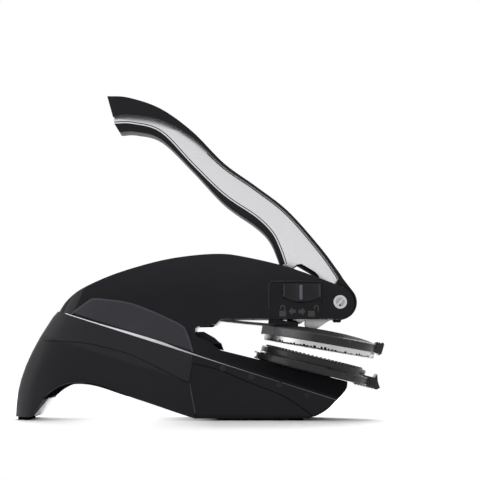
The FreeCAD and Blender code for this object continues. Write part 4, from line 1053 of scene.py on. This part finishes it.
def edge_highlights():
    """Thin light strips along the grip's front edge and along the rear of its arch: painted highlights for
    the light on these edges.
    """
    arch = shifted([place for place in UNDERSIDE if -68 < place[0] < -50], 0.45)
    front = flowing((SEAM_BEND, (-3.4, 10.8), (-1.9, 3.4)), 8)
    # Painted highlights: very light strips where these edges catch the light.
    for name, line, depth in (("seam_bead_{}", front, 0.4), ("arch_bead_{}", arch, 0.5)):
        highlight_strip = gridded(ribbon(name, line, -0.24, 0.24, -FLAT, -FLAT + 0.8), 90, 3)
        both_sides(shaded(draped(highlight_strip, -depth)), name, "highlight_grey", "frame", "grip_grey")


def arch_liner():
    """Matt black lining under the arch."""
    arch = [place for place in UNDERSIDE if -68.4 < place[0] < -30]
    liner = ribbon("arch_liner", arch, 0.4, -0.15, -20.3, 20.3)
    worn_by(shaded(liner), "rubber", "frame", "grip_grey")


def heel_plate():
    """Satin plate that follows the inner face of the rear leg."""
    inner = [place for place in UNDERSIDE if -74.6 < place[0] < -66.5]
    plate = ribbon("heel_plate", inner, 0, -1.3, -12.0, 12.0)
    worn_by(softened(plate, 0.3), "plate_chrome", "frame", "chrome", "rear_heel_plate")


# ================================================================ name pads and trim
def name_pads():
    """Bare pads, and a lighter line near their edge: a painted highlight for the light on their bevel."""
    proud = size_of("pad_proud")
    foot, toe = trim_z(-57.4) + TRIM_T + 0.3, trim_z(-2.6) + TRIM_T + 0.3
    outline = joined(((-57.4, foot), (-49.2, 53.5), (-48.3, 54.0), (-47.4, 54.1)),
                     flowing(((-44.1, 54.0), (-29.9, 51.8), (-12.1, 44.4), (-6.7, 41.3)), 5),
                     ((-4.8, 37.4), (-2.6, toe)))
    pad = drawn("pad", outline, -FLAT, -FLAT + proud - 0.06)
    round_edges(pad, whole_outline, 0.62)
    draped(gridded(pad, 3, 3, 3), -LEDGE + proud)
    both_sides(shaded(pad, 50), "name_pad_plain_{}", "pad_grey_and_highlight", "frame", "grip_grey", "name_pad_{}")
    # Painted highlight: a lighter line just inside the pad's outline, for the light on its bevelled edge.
    line = ribbon("pad_highlight_line", outline, -PAD_HIGHLIGHT_IN, -PAD_HIGHLIGHT_IN - PAD_HIGHLIGHT_W, -FLAT, -FLAT + 0.5)
    draped(gridded(line, 3, 3, 3), -LEDGE + proud + 0.03)
    both_sides(shaded(line), "name_pad_edge_{}", "pad_highlight", "frame", "grip_grey")


def trim_strips():
    """Strip that is widest behind the pad and tapers to both ends."""
    widths = ((-62, 0.35), (-45, 0.6), (-30, 1.15), (-16, 1.3), (-10, 0.85), (2, 0.45), (60.2, 0.38))
    stations = [-60 + 4 * i for i in range(31)] + [60.2]
    top = [(x, trim_z(x) + hermite(widths, x)) for x in stations]
    bottom = [(x, trim_z(x)) for x in reversed(stations)]
    strip = drawn("trim", top + bottom, -FLAT, -FLAT + 0.95)
    round_edges(strip, whole_outline, 0.16, 2)
    draped(gridded(strip, 4, 90, 4), 0.02)
    both_sides(shaded(strip, 40), "trim_line_{}", "trim", "frame", "trim_grey", "trim_strip_{}")


# ================================================================ lever
def lever_plates():
    hub_side, neck = polar(PIVOT, 5.6, 100), polar(PIVOT, 5.6, 150)
    outline = joined(flowing(CAP_LOW), (CHROME_END, hub_side, neck, *PLATE_NOTCH),
                     reversed(flowing(BAND_LOW)))
    right = drawn("lever_plate_right", outline, -CORE_OUT, -PLATE_IN)
    cut(right, rod("hub", PIVOT, HUB_R + 0.4, -10, 0, 64))
    left = mirrored(softened(right, 0.3), "lever_plate_left")
    worn_by(right, "plate_chrome", "lever", "chrome", "handle_plate_right", "lever_rivet_upper",
            "lever_rivet_middle", "lever_rivet_lower")
    worn_by(left, "plate_chrome", "lever", "chrome", "handle_plate_left")


def groove_shade_lines():
    """Dark lines near the long edges of the side plates: painted shade standing in for narrow grooves."""
    top = [point for point in flowing(CAP_LOW, 10) if point[0] > 2.0]
    for number, (edge, inwards) in enumerate(((flowing(BAND_LOW, 10), 1), (top, -1)), 1):
        line = ribbon("line", edge, inwards * (LINE_IN - LINE_W / 2), inwards * (LINE_IN + LINE_W / 2),
                      -CORE_OUT - 0.02, -CORE_OUT + 0.3)
        both_sides(line, "lever_line_{}_%d" % number, "lever_black", "lever", "grip_grey")


def grip_cap():
    """Cap along the top of the lever, and the light strip at its end, a painted highlight on its rounded end.
    """
    outline = joined(flowing(CAP_TOP, 8), reversed(flowing(CAP_LOW, 8)))
    cap = drawn("grip_cap", outline, -FLAT, FLAT)
    hub_end = along((CAP_TOP[-1], CAP_LOW[-1]))
    round_edges(cap, lambda m, run, n: on_side(m, run) and m.x < CAP_THICK, 1.3, 5)
    round_edges(cap, lambda m, run, n: whole_outline(m, run, n) and m.x > CAP_THICK + 1.5
                and not hub_end(m, run, n), 0.35, 3)
    gridded(cap, 3, 90, 3)
    for vertex in cap.data.vertices:
        x, y, _ = vertex.co / MM
        half = hermite(GRIP_HALF, x)
        vertex.co.y = math.copysign(half - (FLAT - abs(y)), y) * MM
    worn_by(shaded(cap, 50), "grip_black", "lever", "grip_grey", "handle_cap")
    # Painted highlight: a bright strip for the light on the cap's rounded end.
    rim = drawn("grip_cap_end", ((-42.7, 145.9), (-42.1, 145.8), (-39.3, 136.3), (-39.9, 136.3)), -7.6, 7.6)
    worn_by(softened(rim, 0.15, 2), "trim", "lever", "grip_grey")


def lower_strip():
    outline = joined(flowing(BAND_LOW, 8), reversed(flowing(STRIP_LOW, 8)))
    strip = drawn("lower_strip", outline, -CORE_OUT, CORE_OUT)
    cut(strip, rod("hook_room", PIVOT, HOOK_ROOM_R, -9, 9, 96))
    worn_by(softened(strip, 0.8, 4), "grip_black", "lever", "grip_grey", "handle_strip")


def hub_strap():
    """Strap that carries on from the cap and wraps the hub, with a lug below."""
    top = CAP_TOP[-1]
    bearing = math.degrees(math.atan2(top[1] - PIVOT[1], top[0] - PIVOT[0]))
    tangent = bearing - math.degrees(math.acos(HUB_OUT / math.dist(top, PIVOT)))
    outline = joined((top, CAP_LOW[-1], CHROME_END), arc(PIVOT, HUB_R, 90, -100, 48),
                     arc(PIVOT, HUB_OUT, -100, tangent, 40))
    strap = drawn("hub_strap", outline, -LEVER_HALF, LEVER_HALF)
    merged(strap, drawn("lug", ((59.9, 44.7), (60.3, 43.5), (63.3, 43.5), (63.7, 44.7)), -3.0, 3.0))
    worn_by(softened(strap, 0.35), "grip_black", "lever", "grip_grey", "hub_cover")


def lobe_shoe():
    """Bright steel shoe over the pressing lobe."""
    towards = math.degrees(math.atan2(LOBE[1] - PIVOT[1], LOBE[0] - PIVOT[0]))
    root = [polar(PIVOT, HUB_R - 0.5, towards + side * SHOE_ROOT) for side in (-1, 1)]
    tip = arc(LOBE, LOBE_R + SHOE_SKIN, towards - 60, towards + 90, 24)
    heel = ((44.5, 47.6), (41.2, 45.8), (44.8, 42.7))
    shoe = drawn("lobe_shoe", joined((root[0],), heel, tip, (root[1],)), -PLATE_IN - SHOE_SKIN,
                 PLATE_IN + SHOE_SKIN)
    cut(shoe, rod("hub", PIVOT, HUB_R + SHOE_SKIN, -10, 10, 64))
    worn_by(softened(shoe, 0.3), "cast", "lever", "chrome")


def between(face, side, below, above):
    """Y range round a face that looks to one side, in order."""
    return sorted((face - side * below, face + side * above))


def pivot_pin():
    """Pivot pin with a turned rim, a sunk disc, a slanting bar and a punch mark on both faces."""
    pin = rod("pivot_pin_turned", PIVOT, PIN_R, -PIN_HALF, PIN_HALF, 64)
    for side in (-1, 1):
        face = side * PIN_HALF
        cut(pin, rod("sunk", PIVOT, PIN_RECESS_R, *between(face, side, PIN_RECESS_D, 1.0)))
        bar = block("bar", -PIN_RECESS_R - 0.1, PIN_RECESS_R + 0.1,
                    *between(face, side, 2 * PIN_RECESS_D, -0.05), -0.4, 0.4)
        merged(pin, leaned(bar, PIVOT, PIN_BAR_SLOPE))
    worn_by(softened(pin, 0.25, 3, 50), "pin_face", "frame", "steel", "pivot_pin")
    for name, side in (("right", -1), ("left", 1)):
        floor = side * (PIN_HALF - PIN_RECESS_D)
        disc = rod("pin_recess_" + name, PIVOT, PIN_RECESS_R - 0.02, *between(floor, side, 0.3, 0.04))
        cut(disc, leaned(block("bar", -3, 3, -40, 40, -0.42, 0.42), PIVOT, PIN_BAR_SLOPE))
        worn_by(shaded(disc), "pin_recess", "frame", "steel")
        punch = rod("pin_punch_mark_" + name, (PIVOT[0], PIVOT[1] - 1.5), 0.42,
                    *between(floor, side, 0.3, 0.08), 20)
        worn_by(shaded(punch), "lever_black", "frame", "steel")


# ================================================================ dies
def pull_tab(outline, half):
    """Finger tab with a serrated outer edge."""
    tab = drawn("tab", outline, -half, half)
    edge = max(u for u, n in outline)
    pitch = 2 * half / TAB_TEETH
    for i in range(TAB_TEETH):
        cut(tab, post("notch", edge, -half + (i + 0.5) * pitch, 0, pitch * 0.28, 30, 16))
    return tab


def bead_ring(name, radius, count, size, n0, n1):
    """Ring of short raised bars."""
    bar = block(name, radius - size[0] / 2, radius + size[0] / 2, -size[1] / 2, size[1] / 2, n0, n1)
    softened(bar, min(size) * 0.2, 1)
    with editing(bar):
        bpy.ops.mesh.spin(steps=count, angle=2 * math.pi, center=(0, 0, 0), axis=(0, 0, 1), dupli=True)
        bpy.ops.mesh.select_all(action="SELECT")
        bpy.ops.mesh.remove_doubles(threshold=0.001 * MM)
    return bar


def star(n0, n1):
    """Five-pointed star standing on the XY plane."""
    tips = [polar((0, 0), STAR_R * (STAR_WAIST if i % 2 else 1), 36 * i) for i in range(10)]
    piece = drawn("star", tips, n0, n1)
    piece.matrix_world = Matrix.Rotation(math.pi / 2, 4, "X")
    return softened(applied(piece), 0.1, 2)


def ringed(*rest):
    """Half section of a die with its raised rings, carried on by more points."""
    profile = [(0, 0)]
    for outer in reversed(RING_RADII):
        inner = outer - RING_W
        profile += [(inner, 0), (inner + 0.1, RELIEF_H), (outer - 0.1, RELIEF_H), (outer, 0)]
    return profile + list(rest)


def rail_groove(half, neck0, neck1, head0, head1):
    """Tools for a T groove: half is the half width of its neck."""
    head = half + 3.0
    return [block("neck", -40, GROOVE_END, -half, half, neck0, neck1),
            block("head", -40, GROOVE_END, -head, head, head0, head1)]


def upper_holder():
    """Domed ring with a finger tab, two heels and the groove of its rail."""
    r, t, top = UPPER_HOLDER_R, UPPER_DIE_T, HOLDER_TOP
    rim = top - 0.9
    holder = spun("upper_ring", ((0, t), (r - 0.3, t), (r, t + 0.3), (r, rim - 0.3), (r - 0.4, rim),
                                 (r - 3.0, rim + 0.8), (r - 7.5, rim + 1.6), (r - 13.0, rim + 2.2),
                                 (7.3, rim + 2.5), (0, rim + 2.5)))
    tip = r + 2.5
    teeth = [(r - 1 + 0.9 * i + step, top + height) for i in range(3)
             for step, height in ((0, -0.3), (0.45, 0.5))]
    tab = pull_tab(((r - 2, t), (tip - 1.9, t), (tip - 1.5, t - 0.7), (tip - 0.5, t + 0.2), (tip, top - 0.2),
                    (tip - 0.5, top + 0.6), *reversed(teeth[:-1]), (r - 2, top - 0.8)), 6.5)
    merged(holder, tab, block("heel_a", -r - 0.8, -r + 6, 10.6, 14, t, top - 1),
           block("heel_b", -r - 0.8, -r + 6, -14, -10.6, t, top - 1))
    cut(holder, *rail_groove(7.3, 4.7, top + 3, 3.6, 5.3))
    softened(leaned(holder, UPPER, UPPER_SLOPE), 0.18, 2)
    worn_by(holder, "die_ring", "upper_cassette", "holder_black", "upper_die_holder")


def engraved_notches(back, outer):
    """Uneven cuts round the rim of the upper die's face."""
    draw = random.Random(11)
    tools = []
    for i in range(NOTCH_COUNT):
        wide, high = draw.uniform(*NOTCH_W), draw.uniform(*NOTCH_H)
        if draw.random() < NOTCH_SKIPPED:
            continue
        notch = block("notch", back, outer, -wide / 2, wide / 2, -1.0, high)
        notch.rotation_euler = (0, 0, math.radians(360 / NOTCH_COUNT * i))
        tools.append(applied(notch))
    only(*tools)
    bpy.ops.object.join()
    return tools[0]


def upper_die():
    """Ringed plate with a notched rim and a dark ring behind the notches, painted shade in them."""
    r, back = UPPER_DIE_R, UPPER_DIE_R - 1.3
    die = spun("upper_die_plate", ringed((r - 0.4, 0.0), (r, 0.4), (r, UPPER_DIE_T), (0, UPPER_DIE_T)))
    cut(die, engraved_notches(back, r + 1.0))
    shaded(leaned(die, UPPER, UPPER_SLOPE))
    worn_by(die, "die_face_upper", "upper_cassette", "die_silver", "upper_die")
    # Painted shade: a dark ring behind the notches, so that they read as shadowed cuts.
    fill = spun("upper_die_notch_shade", ((back - 0.6, 0.02), (back + 0.15, 0.02), (back + 0.15, 1.15),
                                   (back - 0.6, 1.15), (back - 0.6, 0.02)))
    worn_by(shaded(leaned(fill, UPPER, UPPER_SLOPE)), "rubber", "upper_cassette", "holder_black")


def lower_holder():
    """Flanged ring with a finger tab and the groove of its rail."""
    r, step, low, bore = LOWER_FLANGE_R, LOWER_STEP_R, JAW_TOP + 0.2, LOWER_DIE_R + 0.1
    holder = spun("lower_ring", ((0, low), (r - 0.5, low), (r, low + 0.5), (r, -3.6), (r - 0.5, -3.1),
                                 (r - 1.2, -3.0), (step + 0.4, -3.0), (step, -2.6), (step, -0.4),
                                 (step - 0.4, 0), (bore, 0), (bore, -LOWER_DIE_T), (0, -LOWER_DIE_T)))
    tip = r + 4.6
    saw = [(r - 7 + 1.25 * i + along_by, low - deep) for i in range(8)
           for along_by, deep in ((0, 0.1), (0.6, 0.75))]
    tab = pull_tab((*saw, (tip - 1.2, low - 0.6), (tip, low + 0.5), (tip - 0.9, low + 1.8),
                    (tip - 1.7, low + 3.3), (tip - 2.6, -0.4), (tip - 3.4, -2.2), (step - 1, -2.2)), 7.0)
    merged(holder, tab)
    cut(holder, *rail_groove(5.3, low - 1, -5.1, -5.7, -4.0))
    softened(leaned(holder, LOWER, LOWER_SLOPE), 0.18, 2)
    worn_by(holder, "die_ring", "lower_cassette", "holder_black", "lower_die_holder")


def lower_die():
    """Ringed plate with border teeth, beads and a star."""
    r = LOWER_DIE_R - 0.02
    die = spun("lower_die_plate", ringed((r, 0.0), (r, -LOWER_DIE_T), (0, -LOWER_DIE_T)))
    merged(die, bead_ring("teeth", LOWER_DIE_R - 1.0, TOOTH_COUNT, (1.6, 1.0), -0.3, TOOTH_H),
           bead_ring("beads", 16.2, BEAD_COUNT, (2.4, 0.8), -0.3, RELIEF_H - 0.1), star(-0.3, RELIEF_H))
    shaded(leaned(die, LOWER, LOWER_SLOPE))
    worn_by(die, "die_face_lower", "lower_cassette", "die_silver", "lower_die")


# ================================================================ lock
def lock_button():
    """Lens-shaped slider with a scoop on each side of its rib; the rib and the end rims are lighter bars,
    painted highlights.
    """
    half, low, top = BUTTON_L / 2, LOCK_Z - BUTTON_H / 2, LOCK_Z + BUTTON_H / 2 - 0.3
    bow = [(BUTTON_X + u, low + BUTTON_BOW * (u / half) ** 2)
           for u in (half - 2 * half * i / 16 for i in range(17))]
    outline = joined(((BUTTON_X - half, top), (BUTTON_X + half, top)), bow)
    inner = half_width(BUTTON_X, LOCK_Z, -LEDGE - POCKET_D + 0.3)
    button = drawn("lock_slider", outline, -BUTTON_FACE - 0.4, -inner + 0.4)
    scoop = size_of("scoop")
    radius = SCOOP_HALF ** 2 / (2 * scoop) + scoop / 2
    for side in (-1, 1):
        cut(button, post("scoop", BUTTON_X + side * SCOOP_X, -BUTTON_FACE - 0.4 - radius + scoop, LOCK_Z,
                         radius, 30, 96))
    floor = gridded(drawn("floor", ((30, 48), (60, 48), (60, 66), (30, 66)), -FLAT, -FLAT + 20), 2, 2, 2)
    draped(floor, -LEDGE - POCKET_D + 0.3)
    ahead = copied(floor, "floor_when_locked")
    for vertex in ahead.data.vertices:
        vertex.co.x += LOCK_TRAVEL * MM
    cut(button, floor, ahead)
    merged(button, block("stem", BUTTON_X - STEM_X, BUTTON_X + STEM_X, -inner - 0.2, -FRAME_OUT - 1.0,
                         LOCK_Z - STEM_Z, LOCK_Z + STEM_Z))
    worn_by(softened(button, 0.22, 3, 30), "button_black", "lock", "holder_black", "lock_button")
    # Painted highlights: the rib and the two end rims are bars in lighter greys, for the light that they
    # catch.
    edge = half - 0.55
    for name, x0, x1, proud, z0, z1, radius, finish in (
            ("rib", -1.1, 0.3, 1.0, low + 0.9, top - 0.6, 0.3, "highlight_grey"),
            ("rim_rear", -edge - 0.4, -edge + 0.4, 0.5, low + BUTTON_BOW, top - 0.5, 0.2, "pad_grey_and_highlight"),
            ("rim_front", edge - 0.4, edge + 0.4, 0.5, low + BUTTON_BOW, top - 0.5, 0.2, "pad_grey_and_highlight")):
        bar = block("lock_slider_" + name, BUTTON_X + x0, BUTTON_X + x1, -BUTTON_FACE - proud,
                    -BUTTON_FACE + 0.6, z0, z1)
        worn_by(softened(bar, radius), finish, "lock", "holder_black")


def mouth_trim():
    """Dark strip over the rear end of the mouth, painted shade for the slot there, and a filler between the
    throat block and the jaw.
    """
    # Painted shade: a dark strip where the slot over the mouth is in shadow.
    lip = drawn("mouth_slot_shade", ((-0.6, 41.4), (5.2, 41.5), (7.4, 42.7), (7.4, 43.3), (5.0, 42.2), (-0.6, 42.0)),
                -12, 12)
    worn_by(softened(lip, 0.1, 2), "rubber", "frame", "gloss_black")
    fill = drawn("throat_fill", ((3.5, 34.6), (9.2, 34.2), (10.4, 30.8), (5.0, 32.0)), -8, 8)
    worn_by(softened(fill, 0.3), "rubber", "frame", "gloss_black")


def recess_line():
    """Thin light line round the rear and the top of the recess: a painted highlight for the light on its rim.
    """
    rear, top = BUTTON_X - LOCK_TRAVEL - BUTTON_L / 2 - 1.0, LOCK_Z + BUTTON_H / 2 + 0.8
    middle = joined(((rear, LOCK_Z - 7.5),), arc((rear + 2.0, top - 2.0), 2.0, 180, 90, 6),
                    ((BUTTON_X, top + 0.15), (BUTTON_X + BUTTON_L / 2 + 0.6, top - 0.3)))
    line = gridded(ribbon("recess_line", middle, -0.14, 0.14, -FLAT, -FLAT + 0.5), 2, 90, 2)
    worn_by(draped(line, -LEDGE + 0.04), "pad_grey_and_highlight", "frame", "trim_grey")


def padlock(open_by):
    """Outlines of a padlock: its body, and its shackle moved open_by millimetres to the side."""
    body = ((-1.5, -2.8), (1.5, -2.8), (1.5, -0.2), (-1.5, -0.2))
    shackle = joined(((1.1 + open_by, -0.3), (1.1 + open_by, 1.3)), arc((open_by, 1.3), 1.1, 0, 180, 8),
                     ((-1.1 + open_by, 0.6), (-0.6 + open_by, 0.6)), arc((open_by, 1.3), 0.6, 180, 0, 8),
                     ((0.6 + open_by, -0.3),))
    return body, shackle


def lock_symbols():
    """Closed padlock, two arrows and open padlock, printed on the floor of the recess."""
    height = size_of("print_height")
    arrow = ((-1.55, 0), (0.0, 1.9), (0.0, 0.8), (1.55, 0.8), (1.55, -0.8), (0.0, -0.8), (0.0, -1.9))
    back = tuple((-u, v) for u, v in reversed(arrow))
    row = LOCK_Z - BUTTON_H / 2 - 3.9
    shapes = [(SYMBOL_X[0], row + 0.1, outline) for outline in padlock(0.0)]
    shapes += [(SYMBOL_X[1], row - 0.3, arrow), (SYMBOL_X[2], row - 0.4, back)]
    shapes += [(SYMBOL_X[3], row + 0.1, outline) for outline in padlock(2.2)]
    for number, (x, z, outline) in enumerate(shapes, 1):
        places = [(x + u, z + v) for u, v in outline]
        symbol = gridded(drawn("lock_symbol_%d" % number, places, -FLAT, -FLAT + height + 0.3), 1, 1, 1)
        worn_by(draped(symbol, -LEDGE - POCKET_D + height), "ink", "frame", "trim_grey")


# ================================================================ stage
def studio_floor():
    """White paper that fades to plain white away from the press, and painted light behind its arch where its
    shadow would fall.
    """
    only()
    bpy.ops.mesh.primitive_plane_add(size=8.0, location=(0, 0, 0))
    floor = named("floor")
    f = Finish("floor_paper")
    pale = bpy.context.scene.embosser_colours.floor
    f.coloured(f.noise(40, 2), lighter(pale, 0.99), pale, 0.9)
    x, y, _ = f.axes()
    away = (x * x + y * y).root().ramp(*FLOOR_FADE)
    # Painted light: the floor turns plain white behind the arch, over the shadow there.
    over = x + ARCH_MIDDLE
    arch = (over * over).root().ramp(*ARCH_FADE)
    white = f.mixed(f.shader, f.glow(), away.most(arch))
    paper = f.mixed(f.shader, white, Link(f, seen_rays(f.tree)))
    f.tree.links.new(paper.outputs[0], f.result.inputs[0])
    floor.data.materials.append(f.material)


def lamps():
    """White surroundings, brighter where they are seen than where they light, and three area lamps."""
    world = bpy.data.worlds.new("studio")
    bpy.context.scene.world = world
    world.use_nodes = True
    tree = world.node_tree
    tree.nodes.clear()
    strength = tree.nodes.new("ShaderNodeMapRange")
    strength.inputs["To Min"].default_value = WORLD_LIGHT
    strength.inputs["To Max"].default_value = 1.0
    tree.links.new(seen_rays(tree), strength.inputs[0])
    sky = tree.nodes.new("ShaderNodeBackground")
    tree.links.new(strength.outputs[0], sky.inputs["Strength"])
    sky.inputs["Color"].default_value = (1, 1, 1, 1)
    result = tree.nodes.new("ShaderNodeOutputWorld")
    tree.links.new(sky.outputs[0], result.inputs[0])
    for name, place, size, power in LAMPS:
        only()
        bpy.ops.object.light_add(type="AREA", location=place)
        lamp = bpy.context.object
        lamp.name = name
        lamp.data.shape = "RECTANGLE"
        lamp.data.size, lamp.data.size_y = size
        lamp.data.energy = power
        aim = Vector((0.0, 0.0, 0.06)) - Vector(place)
        lamp.rotation_euler = aim.to_track_quat("-Z", "Y").to_euler()


def studio_camera():
    """Camera on the right of the press, aimed at the middle of the view."""
    sizes = bpy.context.scene.embosser_sizes
    middle = at(VIEW_MIDDLE[0], 0, VIEW_MIDDLE[1])
    place = Vector((middle.x, -sizes.camera_distance, sizes.camera_height))
    only()
    bpy.ops.object.camera_add(location=place)
    camera = bpy.context.object
    camera.rotation_euler = (middle - place).to_track_quat("-Z", "Y").to_euler()
    camera.data.sensor_width = SENSOR_W
    camera.data.lens = SENSOR_W * ((middle - place).length - NEAR_WALL * MM) / (VIEW_W * MM)
    camera.data.clip_start = 0.01
    bpy.context.scene.camera = camera


# ================================================================ add-on
def metalwork():
    """Give the frame's own pieces that stay as they are their finish."""
    for finish, nodes in KEPT_NODES.items():
        for node in nodes:
            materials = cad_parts[node].data.materials
            materials.clear()
            materials.append(finish_of(finish))


class PieceGroup:
    """Operator whose run models the pieces of one group."""
    jobs = ()

    def execute(self, context):
        for job in self.jobs:
            job()
        return {"FINISHED"}


class EMBOSSER_OT_stage(PieceGroup, bpy.types.Operator):
    """Add the floor, the lamps and the camera"""
    bl_idname = "embosser.stage"
    bl_label = "Stage"
    jobs = (studio_floor, lamps, studio_camera)


class EMBOSSER_OT_metalwork(PieceGroup, bpy.types.Operator):
    """Finish the metal and small parts that keep their own shape"""
    bl_idname = "embosser.metalwork"
    bl_label = "Metalwork and small parts"
    jobs = (metalwork,)


class EMBOSSER_OT_housing(PieceGroup, bpy.types.Operator):
    """Model the two halves of the upper housing"""
    bl_idname = "embosser.housing"
    bl_label = "Housing"
    jobs = (housing,)


class EMBOSSER_OT_base(PieceGroup, bpy.types.Operator):
    """Model the front base and the rear grip with their styling creases"""
    bl_idname = "embosser.base"
    bl_label = "Base"
    jobs = (base_shells, locating_marks, edge_highlights, heel_plate, arch_liner)


class EMBOSSER_OT_pads_and_trim(PieceGroup, bpy.types.Operator):
    """Model the bare name pads and the trim strips"""
    bl_idname = "embosser.pads_and_trim"
    bl_label = "Name pads and trim"
    jobs = (name_pads, trim_strips)


class EMBOSSER_OT_lever(PieceGroup, bpy.types.Operator):
    """Model the side plates with their painted groove-shade lines, the grip cap, the lower strip and the hub
    strap
    """
    bl_idname = "embosser.lever"
    bl_label = "Lever"
    jobs = (lever_plates, groove_shade_lines, grip_cap, lower_strip, hub_strap, lobe_shoe, pivot_pin)


class EMBOSSER_OT_dies(PieceGroup, bpy.types.Operator):
    """Model the two die holders and the two dies"""
    bl_idname = "embosser.dies"
    bl_label = "Dies"
    jobs = (upper_holder, upper_die, lower_holder, lower_die)


class EMBOSSER_OT_lock(PieceGroup, bpy.types.Operator):
    """Model the lock button, its recess line and the symbols printed below it"""
    bl_idname = "embosser.lock"
    bl_label = "Lock"
    jobs = (lock_button, recess_line, mouth_trim, lock_symbols)


class EMBOSSER_PT_panel(bpy.types.Panel):
    """Sizes, colours and pieces of the embosser"""
    bl_idname = "EMBOSSER_PT_panel"
    bl_label = "Desk Seal Embosser"
    bl_space_type = "VIEW_3D"
    bl_region_type = "UI"
    bl_category = "Embosser"

    def draw(self, context):
        for group in (context.scene.embosser_sizes, context.scene.embosser_colours):
            column = self.layout.column()
            for name in group.__annotations__:
                column.prop(group, name)
        for operator in OPERATORS:
            self.layout.operator(operator.bl_idname)


OPERATORS = (EMBOSSER_OT_stage, EMBOSSER_OT_metalwork, EMBOSSER_OT_housing, EMBOSSER_OT_base,
             EMBOSSER_OT_pads_and_trim, EMBOSSER_OT_lever, EMBOSSER_OT_dies, EMBOSSER_OT_lock)
CLASSES = (EmbosserSizes, EmbosserColours, *OPERATORS, EMBOSSER_PT_panel)


def register():
    for item in CLASSES:
        bpy.utils.register_class(item)
    bpy.types.Scene.embosser_sizes = PointerProperty(type=EmbosserSizes)
    bpy.types.Scene.embosser_colours = PointerProperty(type=EmbosserColours)


def unregister():
    del bpy.types.Scene.embosser_colours
    del bpy.types.Scene.embosser_sizes
    for item in reversed(CLASSES):
        bpy.utils.unregister_class(item)


def main():
    register()
    bpy.context.scene.view_settings.view_transform = "Standard"
    for operator in OPERATORS:
        getattr(bpy.ops.embosser, operator.bl_idname.split(".")[1])()


if __name__ == "__main__":
    main()
